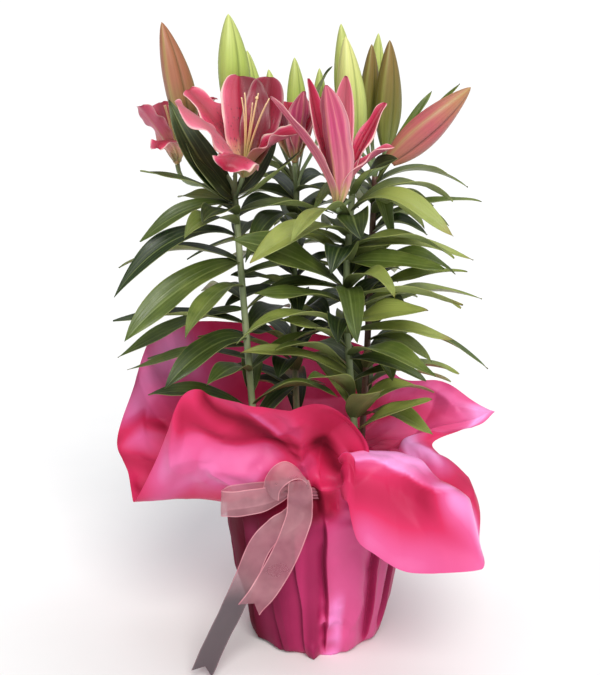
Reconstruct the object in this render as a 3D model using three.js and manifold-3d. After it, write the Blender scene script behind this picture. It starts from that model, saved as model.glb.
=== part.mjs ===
// A potted Oriental lily in gift wrap: a nursery pot of soil with four leafy stems, their blooms and
// buds, in a square sheet of film that is pleated round the pot and tied at the neck with a ribbon.
// Millimetres, +Z up. The origin is the middle of the wrap's flat underside, and the front faces -Y.
import * as THREE from "three";
import { mergeVertices } from "three/addons/utils/BufferGeometryUtils.js";
import Module from "manifold-3d";

const wasm = await Module();
wasm.setup();

// Driving dimensions
const GAP = 0.3;
const FILM = 0.8;
const FOOT_RADIUS = 54;
const NECK_RADIUS = 64;
const NECK_LOW = 160;
const NECK_HIGH = 173;
const POT_FOOT = FILM + GAP;
const POT_FOOT_RADIUS = 53;
const POT_SHOULDER = 128;
const POT_SHOULDER_RADIUS = 70.5;
const POT_LIP_RADIUS = 75;
const POT_LIP_WALL = 1.8;
const POT_TOP = 142;
const POT_WALL = 1.6;
const POT_FLOOR = 2;
const DRAIN_HOLES = 6;
const DRAIN_RADIUS = 5;
const DRAIN_CIRCLE = 34;
const LATHE_SIDES = 24;
const SOIL_TOP = 124;
const SOIL_CROWN = 4;
const STEM_RADIUS = 3.6;
const STEM_FOOT = 70;
const STEM_HOLE_SPARE = 0.6;
const STALK_RADIUS = 2.3;
const RIBBON_WIDTH = 24;
const RIBBON = 0.8;
const TIE_Z = 167;
const TIE_CLEAR = 4.1;
const TIE_THICK = [2.2, 2.4];
const KNOT_RADII = [9, 7, 9];
const KNOT_ANGLE = 11;
const KNOT_RISE = 4;
const KNOT_SEAT = 6.3;
const LEAF_THICK = 1.6;
const LEAF_CUP = 0.35;
const LEAF_CLEAR = 7.5;
const SISTER_CLEAR = 5;
const GOLDEN_ANGLE = 137.508;
const SEED = 2027;

// The film from the middle of the underside up to the neck: distance from the pot's axis, and height.
const FILM_BODY = [
  [FOOT_RADIUS, 0],
  [57.5, 5],
  [70, 92],
  [77.3, 130],
  [77.5, 144],
  [NECK_RADIUS, NECK_LOW],
  [NECK_RADIUS, NECK_HIGH],
];
const COLLAR_ROWS = 5;
const COLUMNS_PER_RIB = 2;

// The collar above the neck. Each rib has its angle round the neck, clockwise from the front as seen from
// above, the point where the film ends, how far out it turns, as a share, and how much it first rises.
const RIBS = [
  [-14, 38, -95, 222, 0.45, 35],
  [-5, 8, -101, 260, 0.4, 40],
  [8, -42, -110, 263, 0.4, 40],
  [22, -91, -101, 266, 0.7, 15],
  [34, -115, -90, 268, 0.85, 0],
  [46, -132, -80, 227, 0.8, -18],
  [60, -163, -58, 160, 0.6, -25],
  [74, -175, -25, 170, 0.6, -18],
  [88, -188, 10, 192, 0.6, -10],
  [100, -175, 46, 235, 0.8, 0],
  [112, -164, 62, 271, 0.85, 5],
  [124, -149, 90, 281, 0.85, 10],
  [138, -117, 120, 280, 0.8, 10],
  [153, -75, 145, 272, 0.75, 10],
  [170, -10, 157, 260, 0.7, 10],
  [188, 55, 150, 244, 0.7, 10],
  [203, 89, 130, 217, 0.6, 10],
  [216, 129, 115, 218, 0.7, 5],
  [228, 153, 100, 208, 0.7, 5],
  [240, 176, 80, 190, 0.6, 5],
  [252, 143, 50, 187, 0.5, 12],
  [262, 113, 24, 182, 0.5, 18],
  [272, 126, -6, 174, 0.5, 25],
  [284, 141, -75, 158, 0.45, 35],
  [293, 141, -108, 141, 0.45, 55],
  [301, 138, -132, 130, 0.45, 75],
  [308, 113, -138, 124, 0.45, 88],
  [315, 93, -138, 122, 0.45, 92],
  [321, 72, -136, 124, 0.45, 94],
  [327, 50, -130, 136, 0.5, 92],
  [333, 34, -122, 149, 0.55, 85],
  [339, 27, -111, 184, 0.6, 70],
];

// The pleats round the pot: angle, half width in degrees, and how far each stands out.
const PLEATS = [
  [-34, 9, 4.5],
  [-62, 7, 5],
  [-84, 12, 7],
  [4, 8, 4],
  [32, 14, 3],
  [66, 9, 5],
  [96, 8, 4],
  [124, 10, 5],
  [150, 8, 4],
  [178, 11, 5],
  [206, 8, 4],
  [232, 10, 5],
  [256, 9, 4],
];

// Each stem's line from its foot in the soil to its crown.
const STEMS = {
  front_left: [
    [-50, -18, STEM_FOOT],
    [-50, -18, 100],
    [-50, -18, 132],
    [-59, -20, 236],
    [-66, -20, 335],
    [-72, -20, 421],
    [-72, -22, 432],
  ],
  front_right: [
    [44, -30, STEM_FOOT],
    [44, -30, 100],
    [43, -30, 132],
    [33, -30, 240],
    [26, -30, 340],
    [30, -31, 423],
    [31, -32, 434],
  ],
  back_right: [
    [42, 26, STEM_FOOT],
    [42, 26, 100],
    [42, 26, 132],
    [48, 30, 250],
    [52, 30, 380],
    [54, 31, 440],
  ],
  back_middle: [
    [-14, 32, STEM_FOOT],
    [-14, 32, 100],
    [-15, 32, 132],
    [-19, 34, 230],
    [-21, 35, 312],
    [-18, 35, 432],
  ],
};

// Buds: stem, height where the stalk leaves it, base, tip, greatest radius, colour.
const BUDS = {
  left_rose: ["front_left", 426, [-116, 30, 480], [-138, 26, 578], 13, "rose"],
  left_green: ["front_left", 428, [-74, 34, 496], [-79, 30, 585], 14, "green"],
  left_hidden: ["back_middle", 424, [-56, 66, 479], [-64, 66, 552], 9, "green"],
  middle_small: ["back_middle", 420, [-38, 58, 487], [-44, 60, 535], 7, "green"],
  middle_green: ["back_middle", 426, [-18, 56, 474], [-20, 54, 546], 9, "green"],
  middle_slim: ["back_middle", 422, [3, 62, 483], [3, 62, 536], 6.5, "green"],
  right_yellow: ["front_right", 430, [32, -16, 470], [24, -19, 567], 12.5, "yellow_green"],
  right_tall: ["back_right", 436, [27, 20, 488], [21, 12, 577], 9.5, "green"],
  right_back: ["back_right", 434, [52, 50, 485], [56, 44, 568], 8.5, "green"],
  right_brown: ["back_right", 436, [62, 14, 470], [64, 10, 563], 11.5, "brown_green"],
  right_brown_back: ["back_right", 432, [46, 30, 478], [49, 24, 559], 9, "brown_green"],
  right_salmon: ["front_right", 426, [62, -38, 463], [131, -34, 525], 13.5, "salmon"],
};

// Blooms: stem, height of the stalk, base, the way the tube points, length of the tube, filaments'
// length, and the tepals: tip, width, how far the middle bows outward, cup of the edges, ruffle.
const BLOOMS = {
  left: {
    stem: "front_left",
    from: 422,
    base: [-65, -30, 448],
    axis: [0.18, -0.3, 1],
    tube: 30,
    stamens: 58,
    spread: 0.2,
    tepals: [
      [[-68, 2, 532], 44, 4, 0.42, 1.5],
      [[-42, 6, 531], 42, 3, 0.38, 1.5],
      [[-114, 4, 520], 34, 2, 0.3, 2.5],
      [[-118, -70, 514], 36, 8, -0.25, 3],
      [[-76, -98, 462], 40, 20, -0.3, 2.5],
      [[-17, -52, 487], 36, 4, 0.5, 2],
    ],
  },
  right: {
    stem: "front_right",
    from: 424,
    base: [17, -58, 426],
    axis: [0.02, -0.1, 1],
    tube: 34,
    stamens: 26,
    spread: 0.02,
    tepals: [
      [[-39, -88, 521], 26, 6, 0.45, 0.5],
      [[-8, -44, 533], 30, 5, 0.45, 0.5],
      [[6, -82, 530], 42, 9, 0.6, 0.5],
      [[24, -42, 535], 34, 5, 0.45, 0.5],
      [[58, -36, 512], 26, 8, 0.5, 1.5],
      [[64, -70, 478], 26, 8, 0.4, 1.5],
    ],
  },
  middle: {
    stem: "back_middle",
    from: 418,
    base: [-20, 14, 455],
    axis: [0, -0.25, 1],
    tube: 28,
    stamens: 24,
    spread: 0.03,
    tepals: [
      [[-35, -3, 519], 32, 4, 0.35, 1.5],
      [[-12, -10, 520], 32, 4, 0.35, 1.5],
      [[5, 8, 514], 30, 4, 0.35, 1.5],
      [[-6, 30, 508], 28, 4, 0.4, 1],
      [[-27, 36, 507], 28, 4, 0.4, 1],
      [[-46, 24, 508], 28, 4, 0.35, 1.5],
    ],
  },
  far_left: {
    stem: "front_left",
    from: 420,
    base: [-130, 56, 448],
    axis: [-0.1, 0, 1],
    tube: 26,
    stamens: 40,
    spread: 0.12,
    tepals: [
      [[-158, 14, 505], 24, 4, 0.3, 2],
      [[-160, 52, 500], 28, 5, 0.3, 2],
      [[-148, 92, 502], 30, 5, 0.3, 2],
      [[-112, 102, 506], 28, 4, 0.3, 2],
      [[-94, 72, 508], 26, 4, 0.3, 2],
      [[-142, -6, 470], 26, 8, -0.2, 2],
    ],
  },
};

// Leaves that stand alone in the outline: stem, height of the root, tip, width, arch, roll in degrees.
const POSED_LEAVES = [
  ["front_left", 421, [-156, -35, 390], 22, 16, 35],
  ["front_left", 392, [-179, -55, 345], 27, 30, 40],
  ["front_left", 370, [-167, -75, 312], 36, 14, 40],
  ["front_left", 326, [-183, -12, 280], 26, 12, 30],
  ["front_left", 300, [-133, -78, 272], 30, 14, 35],
  ["front_left", 292, [-178, 12, 257], 20, 10, 25],
  ["front_left", 267, [-95, -92, 280], 26, 14, 10],
  ["front_left", 416, [-128, 28, 424], 20, 8, 20],
  ["front_left", 424, [-113, -36, 482], 22, -12, 40],
  ["front_left", 418, [-158, -2, 446], 12, 14, 0],
  ["front_left", 426, [-14, -62, 472], 15, -6, -30],
  ["front_left", 412, [-96, -92, 420], 26, 10, 0],
  ["front_right", 347, [-73, -78, 402], 38, 8, 55],
  ["front_right", 396, [-57, -98, 386], 34, 22, 15],
  ["front_right", 386, [-52, -14, 388], 24, 14, 10],
  ["front_right", 334, [-54, -66, 352], 24, 8, 25],
  ["front_right", 292, [-32, -62, 326], 24, 8, 20],
  ["front_right", 267, [-69, -48, 289], 24, 10, 20],
  ["front_right", 246, [-9, -92, 282], 30, 12, 0],
  ["front_right", 224, [56, -82, 272], 34, 8, 0],
  ["front_right", 212, [103, -56, 250], 24, 8, -20],
  ["front_right", 416, [114, -84, 402], 28, 34, -30],
  ["back_right", 401, [150, 10, 423], 17, 4, -20],
  ["back_right", 412, [70, -4, 386], 24, 34, 0],
  ["front_right", 383, [137, -44, 376], 22, 14, -25],
  ["front_right", 372, [108, -78, 372], 26, 6, -40],
  ["front_right", 338, [124, -84, 346], 22, 14, 30],
  ["front_right", 345, [62, -98, 362], 24, 24, 0],
  ["back_right", 333, [138, 0, 360], 18, 6, -20],
  ["front_right", 314, [96, -70, 334], 30, 8, -30],
  ["front_right", 430, [116, -64, 476], 20, 18, -40],
  ["front_right", 431, [88, -78, 505], 14, 8, -20],
  ["back_right", 430, [126, 4, 526], 14, 10, -20],
  ["back_right", 428, [106, 34, 512], 14, 8, -20],
  ["front_right", 306, [122, -44, 308], 22, 10, -20],
  ["back_right", 284, [108, 6, 274], 22, 10, -20],
  ["front_right", 282, [96, -66, 270], 24, 10, -20],
];

// The other leaves: the lowest and highest root, the first leaf's angle and how many there are.
const LEAF_SPIRALS = {
  front_left: [212, 414, 40, 19],
  front_right: [212, 418, 200, 18],
  back_right: [208, 432, 310, 25],
  back_middle: [208, 424, 90, 26],
};

const COLOURS = {
  film: [0xe0508c, 0.45],
  ribbon: [0xe6a4ae, 0.5],
  pot: [0x2a2624, 0.6],
  soil: [0x3a2a20, 0.95],
  leaf: [0x4f6b33, 0.5],
  petal: [0xc83c62, 0.55],
  stamen: [0xe8c890, 0.6],
  rose: [0xc47a5c, 0.55],
  salmon: [0xc9706a, 0.55],
  green: [0x8fa648, 0.55],
  yellow_green: [0xbcc070, 0.55],
  brown_green: [0x98884a, 0.55],
};

const vec = (p) => new THREE.Vector3(...p);
const radians = THREE.MathUtils.degToRad;

// Random draws that come out the same each time.
let drawState = SEED;
function draw() {
  drawState = (drawState * 16807) % 2147483647;
  return drawState / 2147483647;
}

// Rows of numbers joined by a smooth line. row(k) gives any row, and where is counted in rows.
function smooth(row, where) {
  const k = Math.floor(where);
  const f = where - k;
  const [a, b, c, d] = [row(k - 1), row(k), row(k + 1), row(k + 2)];
  return b.map((_, i) => {
    const bend = 2 * a[i] - 5 * b[i] + 4 * c[i] - d[i];
    const twist = 3 * b[i] - a[i] - 3 * c[i] + d[i];
    return b[i] + 0.5 * f * (c[i] - a[i] + f * (bend + f * twist));
  });
}

// The row function of an open line, carried on straight past its ends.
function openRows(points) {
  const last = points.length - 1;
  const beyond = (end, next, n) => end.map((v, i) => v + (v - next[i]) * n);
  return (k) => {
    if (k < 0) return beyond(points[0], points[1], -k);
    if (k > last) return beyond(points[last], points[last - 1], k - last);
    return points[k];
  };
}

// A point of an open line at a share of it, from 0 to 1.
function lineAt(points, share) {
  return vec(smooth(openRows(points), Math.min(share, 0.99999) * (points.length - 1)));
}

// Solids from points and triangles
function solidFrom(points, triangles) {
  const vertProperties = new Float32Array(points.flatMap((p) => [p.x, p.y, p.z]));
  const triVerts = new Uint32Array(triangles.flat());
  return new wasm.Manifold(new wasm.Mesh({ numProp: 3, vertProperties, triVerts }));
}

function solidOf(geometry) {
  const bare = geometry.clone();
  bare.deleteAttribute("normal");
  bare.deleteAttribute("uv");
  const merged = mergeVertices(bare, 1e-4);
  const vertProperties = merged.attributes.position.array;
  const triVerts = new Uint32Array(merged.index.array);
  return new wasm.Manifold(new wasm.Mesh({ numProp: 3, vertProperties, triVerts }));
}

function geometryOf(solid) {
  const { numProp, vertProperties, triVerts } = solid.getMesh();
  const geometry = new THREE.BufferGeometry();
  const positions = new Float32Array((vertProperties.length / numProp) * 3);
  for (let i = 0; i * 3 < positions.length; i += 1) {
    positions.set(vertProperties.subarray(i * numProp, i * numProp + 3), i * 3);
  }
  geometry.setAttribute("position", new THREE.BufferAttribute(positions, 3));
  geometry.setIndex(new THREE.BufferAttribute(new Uint32Array(triVerts), 1));
  geometry.computeVertexNormals();
  return geometry;
}

// Fuses solids into one. A hollow sealed by the fusing is filled and a loose scrap is dropped.
function joined(solids) {
  const whole = solids.reduce((sum, next) => sum.add(next));
  const bodies = whole.decompose();
  return bodies.reduce((largest, body) => (body.volume() > largest.volume() ? body : largest));
}

// A closed skin over rings of points. A ring of one point is a tip. The quads from ring place mirrorFrom
// on are split the other way, so that a blade's two faces fold alike. hub is the corner each cap fans from.
function loft(rings, hub = 0, mirrorFrom = Infinity) {
  const points = rings.flat();
  const starts = [];
  rings.reduce((sum, ring) => (starts.push(sum), sum + ring.length), 0);
  const triangles = [];
  for (let i = 0; i + 1 < rings.length; i += 1) {
    const n = Math.max(rings[i].length, rings[i + 1].length);
    for (let k = 0; k < n; k += 1) {
      const next = (k + 1) % n;
      const low = (j) => starts[i] + (rings[i].length === 1 ? 0 : j);
      const high = (j) => starts[i + 1] + (rings[i + 1].length === 1 ? 0 : j);
      const quad =
        k >= mirrorFrom
          ? [[low(k), low(next), high(k)], [low(next), high(next), high(k)]]
          : [[low(k), low(next), high(next)], [low(k), high(next), high(k)]];
      triangles.push(...quad.filter(([a, b, c]) => a !== b && b !== c && c !== a));
    }
  }
  const cap = (ring, start, facingOn) => {
    const n = ring.length;
    for (let k = 1; k + 1 < n; k += 1) {
      const [b, c] = [(hub + k) % n, (hub + k + 1) % n];
      triangles.push([start + hub, start + (facingOn ? b : c), start + (facingOn ? c : b)]);
    }
  };
  cap(rings[0], starts[0], false);
  cap(rings.at(-1), starts.at(-1), true);
  return solidFrom(points, triangles);
}

// A round rod along a line, with its radius at each of the steps.
function rod(pointAt, radiusAt, steps, sides) {
  const rings = [];
  for (let i = 0; i <= steps; i += 1) {
    const here = pointAt(i / steps);
    const ahead = pointAt(Math.min(1, i / steps + 0.01));
    const behind = pointAt(Math.max(0, i / steps - 0.01));
    const way = ahead.sub(behind).normalize();
    const across = Math.abs(way.z) > 0.8 ? vec([1, 0, 0]) : vec([0, 0, 1]);
    const side = across.clone().cross(way).normalize();
    const other = way.clone().cross(side);
    const ring = [];
    for (let k = 0; k < sides; k += 1) {
      const angle = (2 * Math.PI * k) / sides;
      const out = side.clone().multiplyScalar(Math.cos(angle)).addScaledVector(other, Math.sin(angle));
      ring.push(here.clone().addScaledVector(out, radiusAt(i / steps)));
    }
    rings.push(ring);
  }
  return loft(rings);
}

// Blades: leaves and tepals. Each follows a cubic line, and its side is square to the line's plane.
function bladeFrame(blade, t) {
  const curve = new THREE.CubicBezierCurve3(...blade.line);
  const here = curve.getPoint(t);
  const [a, b, c, d] = blade.line;
  const way = b.clone().sub(a).multiplyScalar(3 * (1 - t) ** 2);
  way.addScaledVector(c.clone().sub(b), 6 * t * (1 - t));
  way.addScaledVector(d.clone().sub(c), 3 * t * t).normalize();
  const normal = blade.side.clone().cross(way).normalize();
  const side = way.clone().cross(normal);
  const roll = blade.roll * t;
  return {
    here,
    side: side.clone().multiplyScalar(Math.cos(roll)).addScaledVector(normal, Math.sin(roll)),
    normal: normal.clone().multiplyScalar(Math.cos(roll)).addScaledVector(side, -Math.sin(roll)),
  };
}

// A blade's half width at share t, as a share of its greatest.
const leafShape = (t) => 2.6 * (t + 0.01) ** 0.72 * (1 - t) ** 0.78;
const tepalShape = (t) => 2.64 * (t + 0.02) ** 1.05 * (1.01 - t) ** 0.6;

function bladePoint(blade, frame, t, s, lift) {
  const half = (blade.width / 2) * blade.shape(t);
  const rise = half * Math.abs(s) * Math.sin(blade.cup);
  const ruffle = blade.ruffle * s * s * Math.sin(blade.waves * t * 2 * Math.PI + s + blade.phase);
  return frame.here
    .clone()
    .addScaledVector(frame.side, half * s * Math.cos(blade.cup))
    .addScaledVector(frame.normal, rise + ruffle * Math.min(1, 3 * t) + lift);
}

function bladeSolid(blade, stations, columns) {
  const rings = stations.map((t) => {
    const frame = bladeFrame(blade, t);
    const lift = (s) => (blade.thick / 2) * (1 - s * s);
    const upper = columns.map((s) => bladePoint(blade, frame, t, s, lift(s)));
    const under = columns.slice(1, -1).reverse();
    return [...upper, ...under.map((s) => bladePoint(blade, frame, t, s, -lift(s)))];
  });
  rings.push([bladeFrame(blade, 1).here]);
  return loft(rings, (columns.length - 1) / 2, columns.length - 1);
}

// Points spread over a blade, by which its distance from other pieces is judged.
const SAMPLE_ROWS = 20;
function bladeSamples(blade, from = 2) {
  const samples = [];
  for (let i = from; i <= SAMPLE_ROWS; i += 1) {
    const t = Math.min(i / SAMPLE_ROWS, 0.999);
    const frame = bladeFrame(blade, t);
    for (let k = -2; k <= 2; k += 1) samples.push(bladePoint(blade, frame, t, k / 2, 0));
  }
  return samples;
}

// What is placed so far. sisters are the points that leaves of the same stem keep clear of.
const placed = [];
function keep(owner, samples, sisters = []) {
  const sphere = new THREE.Sphere();
  sphere.setFromPoints(samples);
  placed.push({ owner, samples, sisters, sphere });
}

function apart(some, others, clearance) {
  const near = clearance * clearance;
  return some.every((p) => others.every((q) => p.distanceToSquared(q) > near));
}

// Keeps a leaf if it is clear of every other piece, and of its own stem's leaves past their roots.
const SISTER_ROOT = 7;
function settle(stem, blade) {
  const samples = bladeSamples(blade);
  const sisters = bladeSamples(blade, SISTER_ROOT);
  const sphere = new THREE.Sphere();
  sphere.setFromPoints(samples);
  const fits = placed.every((piece) => {
    const reach = sphere.radius + piece.sphere.radius + LEAF_CLEAR;
    if (sphere.center.distanceTo(piece.sphere.center) > reach) return true;
    if (piece.owner === stem) return apart(sisters, piece.sisters, SISTER_CLEAR);
    return apart(samples, piece.samples, LEAF_CLEAR);
  });
  if (fits) keep(stem, samples, sisters);
  return fits;
}

// Film
function fromFront(angle, radius, z) {
  return [-radius * Math.sin(radians(angle)), -radius * Math.cos(radians(angle)), z];
}

function ribAt(where) {
  const n = RIBS.length;
  return smooth((k) => {
    const turns = Math.floor(k / n);
    const [angle, ...rest] = RIBS[k - turns * n];
    return [angle + 360 * turns, ...rest];
  }, where);
}

function pleatAt(angle) {
  return PLEATS.reduce((sum, [middle, width, height]) => {
    const off = ((((angle - middle + 180) % 360) + 360) % 360) - 180;
    return sum + height * Math.exp(-((off / width) ** 2));
  }, 0);
}

// How much of the pleats shows at each row of the body.
const PLEAT_SHARE = [0, 0.6, 1, 0.6, 0.5, 0.15, 0.1];

// The column of film at a place round the ribs, from the edge of the foot to the free edge.
function filmColumn(where) {
  const [angle, ...rib] = ribAt(where);
  const end = vec(rib);
  const [reach, rise] = rib.slice(3);
  const pleat = pleatAt(angle);
  const body = FILM_BODY.map(([radius, z], i) => vec(fromFront(angle, radius + pleat * PLEAT_SHARE[i], z)));
  const neck = body.at(-1);
  const turn = vec([neck.x + (end.x - neck.x) * reach, neck.y + (end.y - neck.y) * reach, neck.z + rise]);
  const bend = new THREE.QuadraticBezierCurve3(neck, turn, end);
  const collar = [];
  for (let i = 1; i <= COLLAR_ROWS; i += 1) collar.push(bend.getPoint(i / COLLAR_ROWS));
  return [...body, ...collar];
}

function filmSolid() {
  const columns = RIBS.length * COLUMNS_PER_RIB;
  const grid = [];
  for (let k = 0; k < columns; k += 1) grid.push(filmColumn(k / COLUMNS_PER_RIB));
  const rows = grid[0].length;
  const points = [vec([0, 0, 0]), ...grid.flat()];
  const at = (k, i) => 1 + ((k + columns) % columns) * rows + i;
  const faces = [];
  for (let k = 0; k < columns; k += 1) {
    faces.push([0, at(k, 0), at(k + 1, 0)]);
    for (let i = 0; i + 1 < rows; i += 1) {
      faces.push([at(k, i), at(k, i + 1), at(k + 1, i + 1)]);
      faces.push([at(k, i), at(k + 1, i + 1), at(k + 1, i)]);
    }
  }
  const normals = points.map(() => vec([0, 0, 0]));
  faces.forEach(([a, b, c]) => {
    const face = points[b].clone().sub(points[a]).cross(points[c].clone().sub(points[a]));
    [a, b, c].forEach((i) => normals[i].add(face));
  });
  const inner = points.map((p, i) => p.clone().addScaledVector(normals[i].normalize(), -FILM));
  inner[0] = vec([0, 0, FILM]);
  for (let k = 0; k < columns; k += 1) inner[at(k, 0)].z = FILM;
  const shift = points.length;
  const inside = faces.map(([a, b, c]) => [a + shift, c + shift, b + shift]);
  const hem = [];
  for (let k = 0; k < columns; k += 1) {
    const [a, b] = [at(k, rows - 1), at(k + 1, rows - 1)];
    hem.push([a, a + shift, b + shift], [a, b + shift, b]);
  }
  return solidFrom([...points, ...inner], [...faces, ...inside, ...hem]);
}

function filmSamples() {
  const samples = [];
  for (let k = 0; k < RIBS.length * 4; k += 1) {
    const column = filmColumn(k / 4);
    const open = column.slice(FILM_BODY.length - 1);
    open.forEach((p, i) => {
      samples.push(p);
      if (i) samples.push(p.clone().add(open[i - 1]).multiplyScalar(0.5));
    });
  }
  return samples;
}

// Pot and soil
function lathe(profile, sides) {
  const outline = profile.map(([r, z]) => new THREE.Vector2(r, z));
  const turned = new THREE.LatheGeometry(outline, sides);
  turned.rotateX(Math.PI / 2);
  return solidOf(turned);
}

function upright(radius, low, high, x, y, sides) {
  const cylinder = new THREE.CylinderGeometry(radius, radius, high - low, sides);
  cylinder.rotateX(Math.PI / 2);
  cylinder.translate(x, y, (low + high) / 2);
  return solidOf(cylinder);
}

function potSolid() {
  const inner = POT_SHOULDER_RADIUS - POT_WALL;
  const lip = POT_LIP_RADIUS - POT_LIP_WALL;
  const shell = lathe(
    [
      [0, POT_FOOT],
      [POT_FOOT_RADIUS, POT_FOOT],
      [POT_SHOULDER_RADIUS, POT_SHOULDER],
      [POT_LIP_RADIUS, POT_SHOULDER],
      [POT_LIP_RADIUS, POT_TOP],
      [lip, POT_TOP],
      [lip, POT_SHOULDER + POT_WALL],
      [inner, POT_SHOULDER],
      [POT_FOOT_RADIUS - POT_WALL, POT_FOOT + POT_FLOOR],
      [0, POT_FOOT + POT_FLOOR],
    ],
    LATHE_SIDES,
  );
  let pot = shell;
  for (let i = 0; i < DRAIN_HOLES; i += 1) {
    const angle = (2 * Math.PI * i) / DRAIN_HOLES;
    const [x, y] = [DRAIN_CIRCLE * Math.cos(angle), DRAIN_CIRCLE * Math.sin(angle)];
    pot = pot.subtract(upright(DRAIN_RADIUS, 0, POT_FOOT + POT_FLOOR + 1, x, y, 8));
  }
  return pot;
}

function soilSolid() {
  const low = POT_FOOT + POT_FLOOR + GAP;
  const share = (SOIL_TOP - low) / (POT_SHOULDER - POT_FOOT - POT_FLOOR);
  const foot = POT_FOOT_RADIUS - POT_WALL - 2 * GAP;
  const brim = foot + (POT_SHOULDER_RADIUS - POT_FOOT_RADIUS) * share;
  const mound = [brim * 0.6, SOIL_TOP + SOIL_CROWN * 0.7];
  const crown = [0, SOIL_TOP + SOIL_CROWN];
  let soil = lathe([[0, low], [foot, low], [brim, SOIL_TOP], mound, crown], LATHE_SIDES);
  for (const [[x, y]] of Object.values(STEMS)) {
    const hole = upright(STEM_RADIUS + STEM_HOLE_SPARE, STEM_FOOT - GAP, SOIL_TOP + 2 * SOIL_CROWN, x, y, 12);
    soil = soil.subtract(hole);
  }
  return soil;
}

// Stems and the stalks of their flowers
function stemHeightShare(name, z) {
  const points = STEMS[name];
  let [low, high] = [0, 1];
  for (let halving = 0; halving < 30; halving += 1) {
    const middle = (low + high) / 2;
    if (lineAt(points, middle).z < z) low = middle;
    else high = middle;
  }
  return low;
}

const stemPoint = (name, z) => lineAt(STEMS[name], stemHeightShare(name, z));

// A stalk leaves the stem upward and meets the flower along the flower's own axis.
function stalkCurve(stem, from, base, way) {
  const start = stemPoint(stem, from);
  const end = vec(base).addScaledVector(way, -GAP);
  const pull = start.distanceTo(end) * 0.4;
  return new THREE.CubicBezierCurve3(
    start,
    start.clone().add(vec([0, 0, pull])),
    end.clone().addScaledVector(way, -pull),
    end,
  );
}

const STALK_STEPS = 4;
const STALK_SIDES = 5;
const STALK_SAMPLES = 12;

function stalkSolid(curve) {
  return rod((t) => curve.getPoint(t), () => STALK_RADIUS, STALK_STEPS, STALK_SIDES);
}

function stalkSamples(curve) {
  return curve.getPoints(STALK_SAMPLES).slice(1);
}

// Buds: slim spindles with three rounded corners.
const budShape = (t) => Math.sin(Math.PI * (0.07 + 0.93 * t) ** 0.85) ** 0.72;
const BUD_SIDES = 9;
const BUD_STATIONS = [0, 0.14, 0.34, 0.56, 0.76, 0.91];

function budFrame(base, tip) {
  const way = vec(tip).sub(vec(base));
  const length = way.length();
  way.normalize();
  const side = vec([0, 1, 0]).cross(way).normalize();
  return { way, length, side, other: way.clone().cross(side) };
}

function budRing([, , base, tip, radius], t, sides) {
  const { way, length, side, other } = budFrame(base, tip);
  const ring = [];
  for (let k = 0; k < sides; k += 1) {
    const angle = (2 * Math.PI * k) / sides;
    const reach = radius * budShape(t) * (1 + 0.07 * Math.cos(3 * angle));
    ring.push(
      vec(base)
        .addScaledVector(way, length * t)
        .addScaledVector(side, reach * Math.cos(angle))
        .addScaledVector(other, reach * Math.sin(angle)),
    );
  }
  return ring;
}

function budSolid(bud) {
  const rings = BUD_STATIONS.map((t) => budRing(bud, t, BUD_SIDES));
  return loft([...rings, [vec(bud[3])]]);
}

// Blooms
const BLOOM_COLUMNS = [-1, 0, 1];
const BLOOM_STATIONS = [0, 0.2, 0.4, 0.58, 0.76, 0.9];
const TEPAL_THICK = 1.7;
const RECEPTACLE = [3.4, 7];
const INNER_WHORL = [2.2, 7.5];
const OUTER_WHORL = [2.6, 10.5];

// The two directions square to a flower's axis, by which angles round it are counted.
function aroundAxis(axis) {
  const side = vec([0, 1, 0]).cross(axis).normalize();
  return [side, axis.clone().cross(side)];
}

// Tepals leave the tube evenly round it, in an inner and an outer whorl, and then bend to their tips.
function tepalBlades(bloom) {
  const base = vec(bloom.base);
  const axis = vec(bloom.axis).normalize();
  const [side, other] = aroundAxis(axis);
  const angles = bloom.tepals.map(([tip]) => {
    const away = vec(tip).sub(base);
    return Math.atan2(away.dot(other), away.dot(side));
  });
  const order = [...angles].sort((a, b) => a - b);
  const step = (2 * Math.PI) / order.length;
  const first = order.reduce((sum, angle, k) => sum + angle - k * step, 0) / order.length;
  return bloom.tepals.map(([tip, width, bow, cup, ruffle], i) => {
    const end = vec(tip);
    const rank = order.indexOf(angles[i]);
    const even = first + rank * step;
    const whorl = rank % 2 ? OUTER_WHORL : INNER_WHORL;
    const start = base.clone().addScaledVector(axis, 2);
    start.addScaledVector(side, whorl[0] * Math.cos(even)).addScaledVector(other, whorl[0] * Math.sin(even));
    const throat = base.clone().addScaledVector(axis, bloom.tube);
    throat.addScaledVector(side, whorl[1] * Math.cos(even)).addScaledVector(other, whorl[1] * Math.sin(even));
    const out = side.clone().multiplyScalar(Math.cos(angles[i])).addScaledVector(other, Math.sin(angles[i]));
    const bend = throat.clone().lerp(end, 0.55).addScaledVector(axis, bow).addScaledVector(out, bow);
    return {
      line: [start, throat, bend, end],
      side: out.clone().cross(axis).normalize(),
      width,
      cup,
      ruffle,
      shape: tepalShape,
      roll: 0,
      waves: 2.5,
      phase: i * 1.7,
      thick: TEPAL_THICK,
    };
  });
}

function bloomSolid(bloom) {
  const axis = vec(bloom.axis).normalize();
  const base = vec(bloom.base);
  const cone = rod(
    (t) => base.clone().addScaledVector(axis, RECEPTACLE[1] * t),
    (t) => STALK_RADIUS + (RECEPTACLE[0] - STALK_RADIUS) * Math.min(1, 2 * t),
    3,
    8,
  );
  const tepals = tepalBlades(bloom).map((blade) => bladeSolid(blade, BLOOM_STATIONS, BLOOM_COLUMNS));
  return joined([cone, ...tepals]);
}

const FILAMENTS = 6;
const FILAMENT_RADIUS = 0.7;
const STAMEN_FOOT = RECEPTACLE[1] + GAP;
const OVARY = [1.7, 9];
const FILAMENT_CIRCLE = 0.9;

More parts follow.
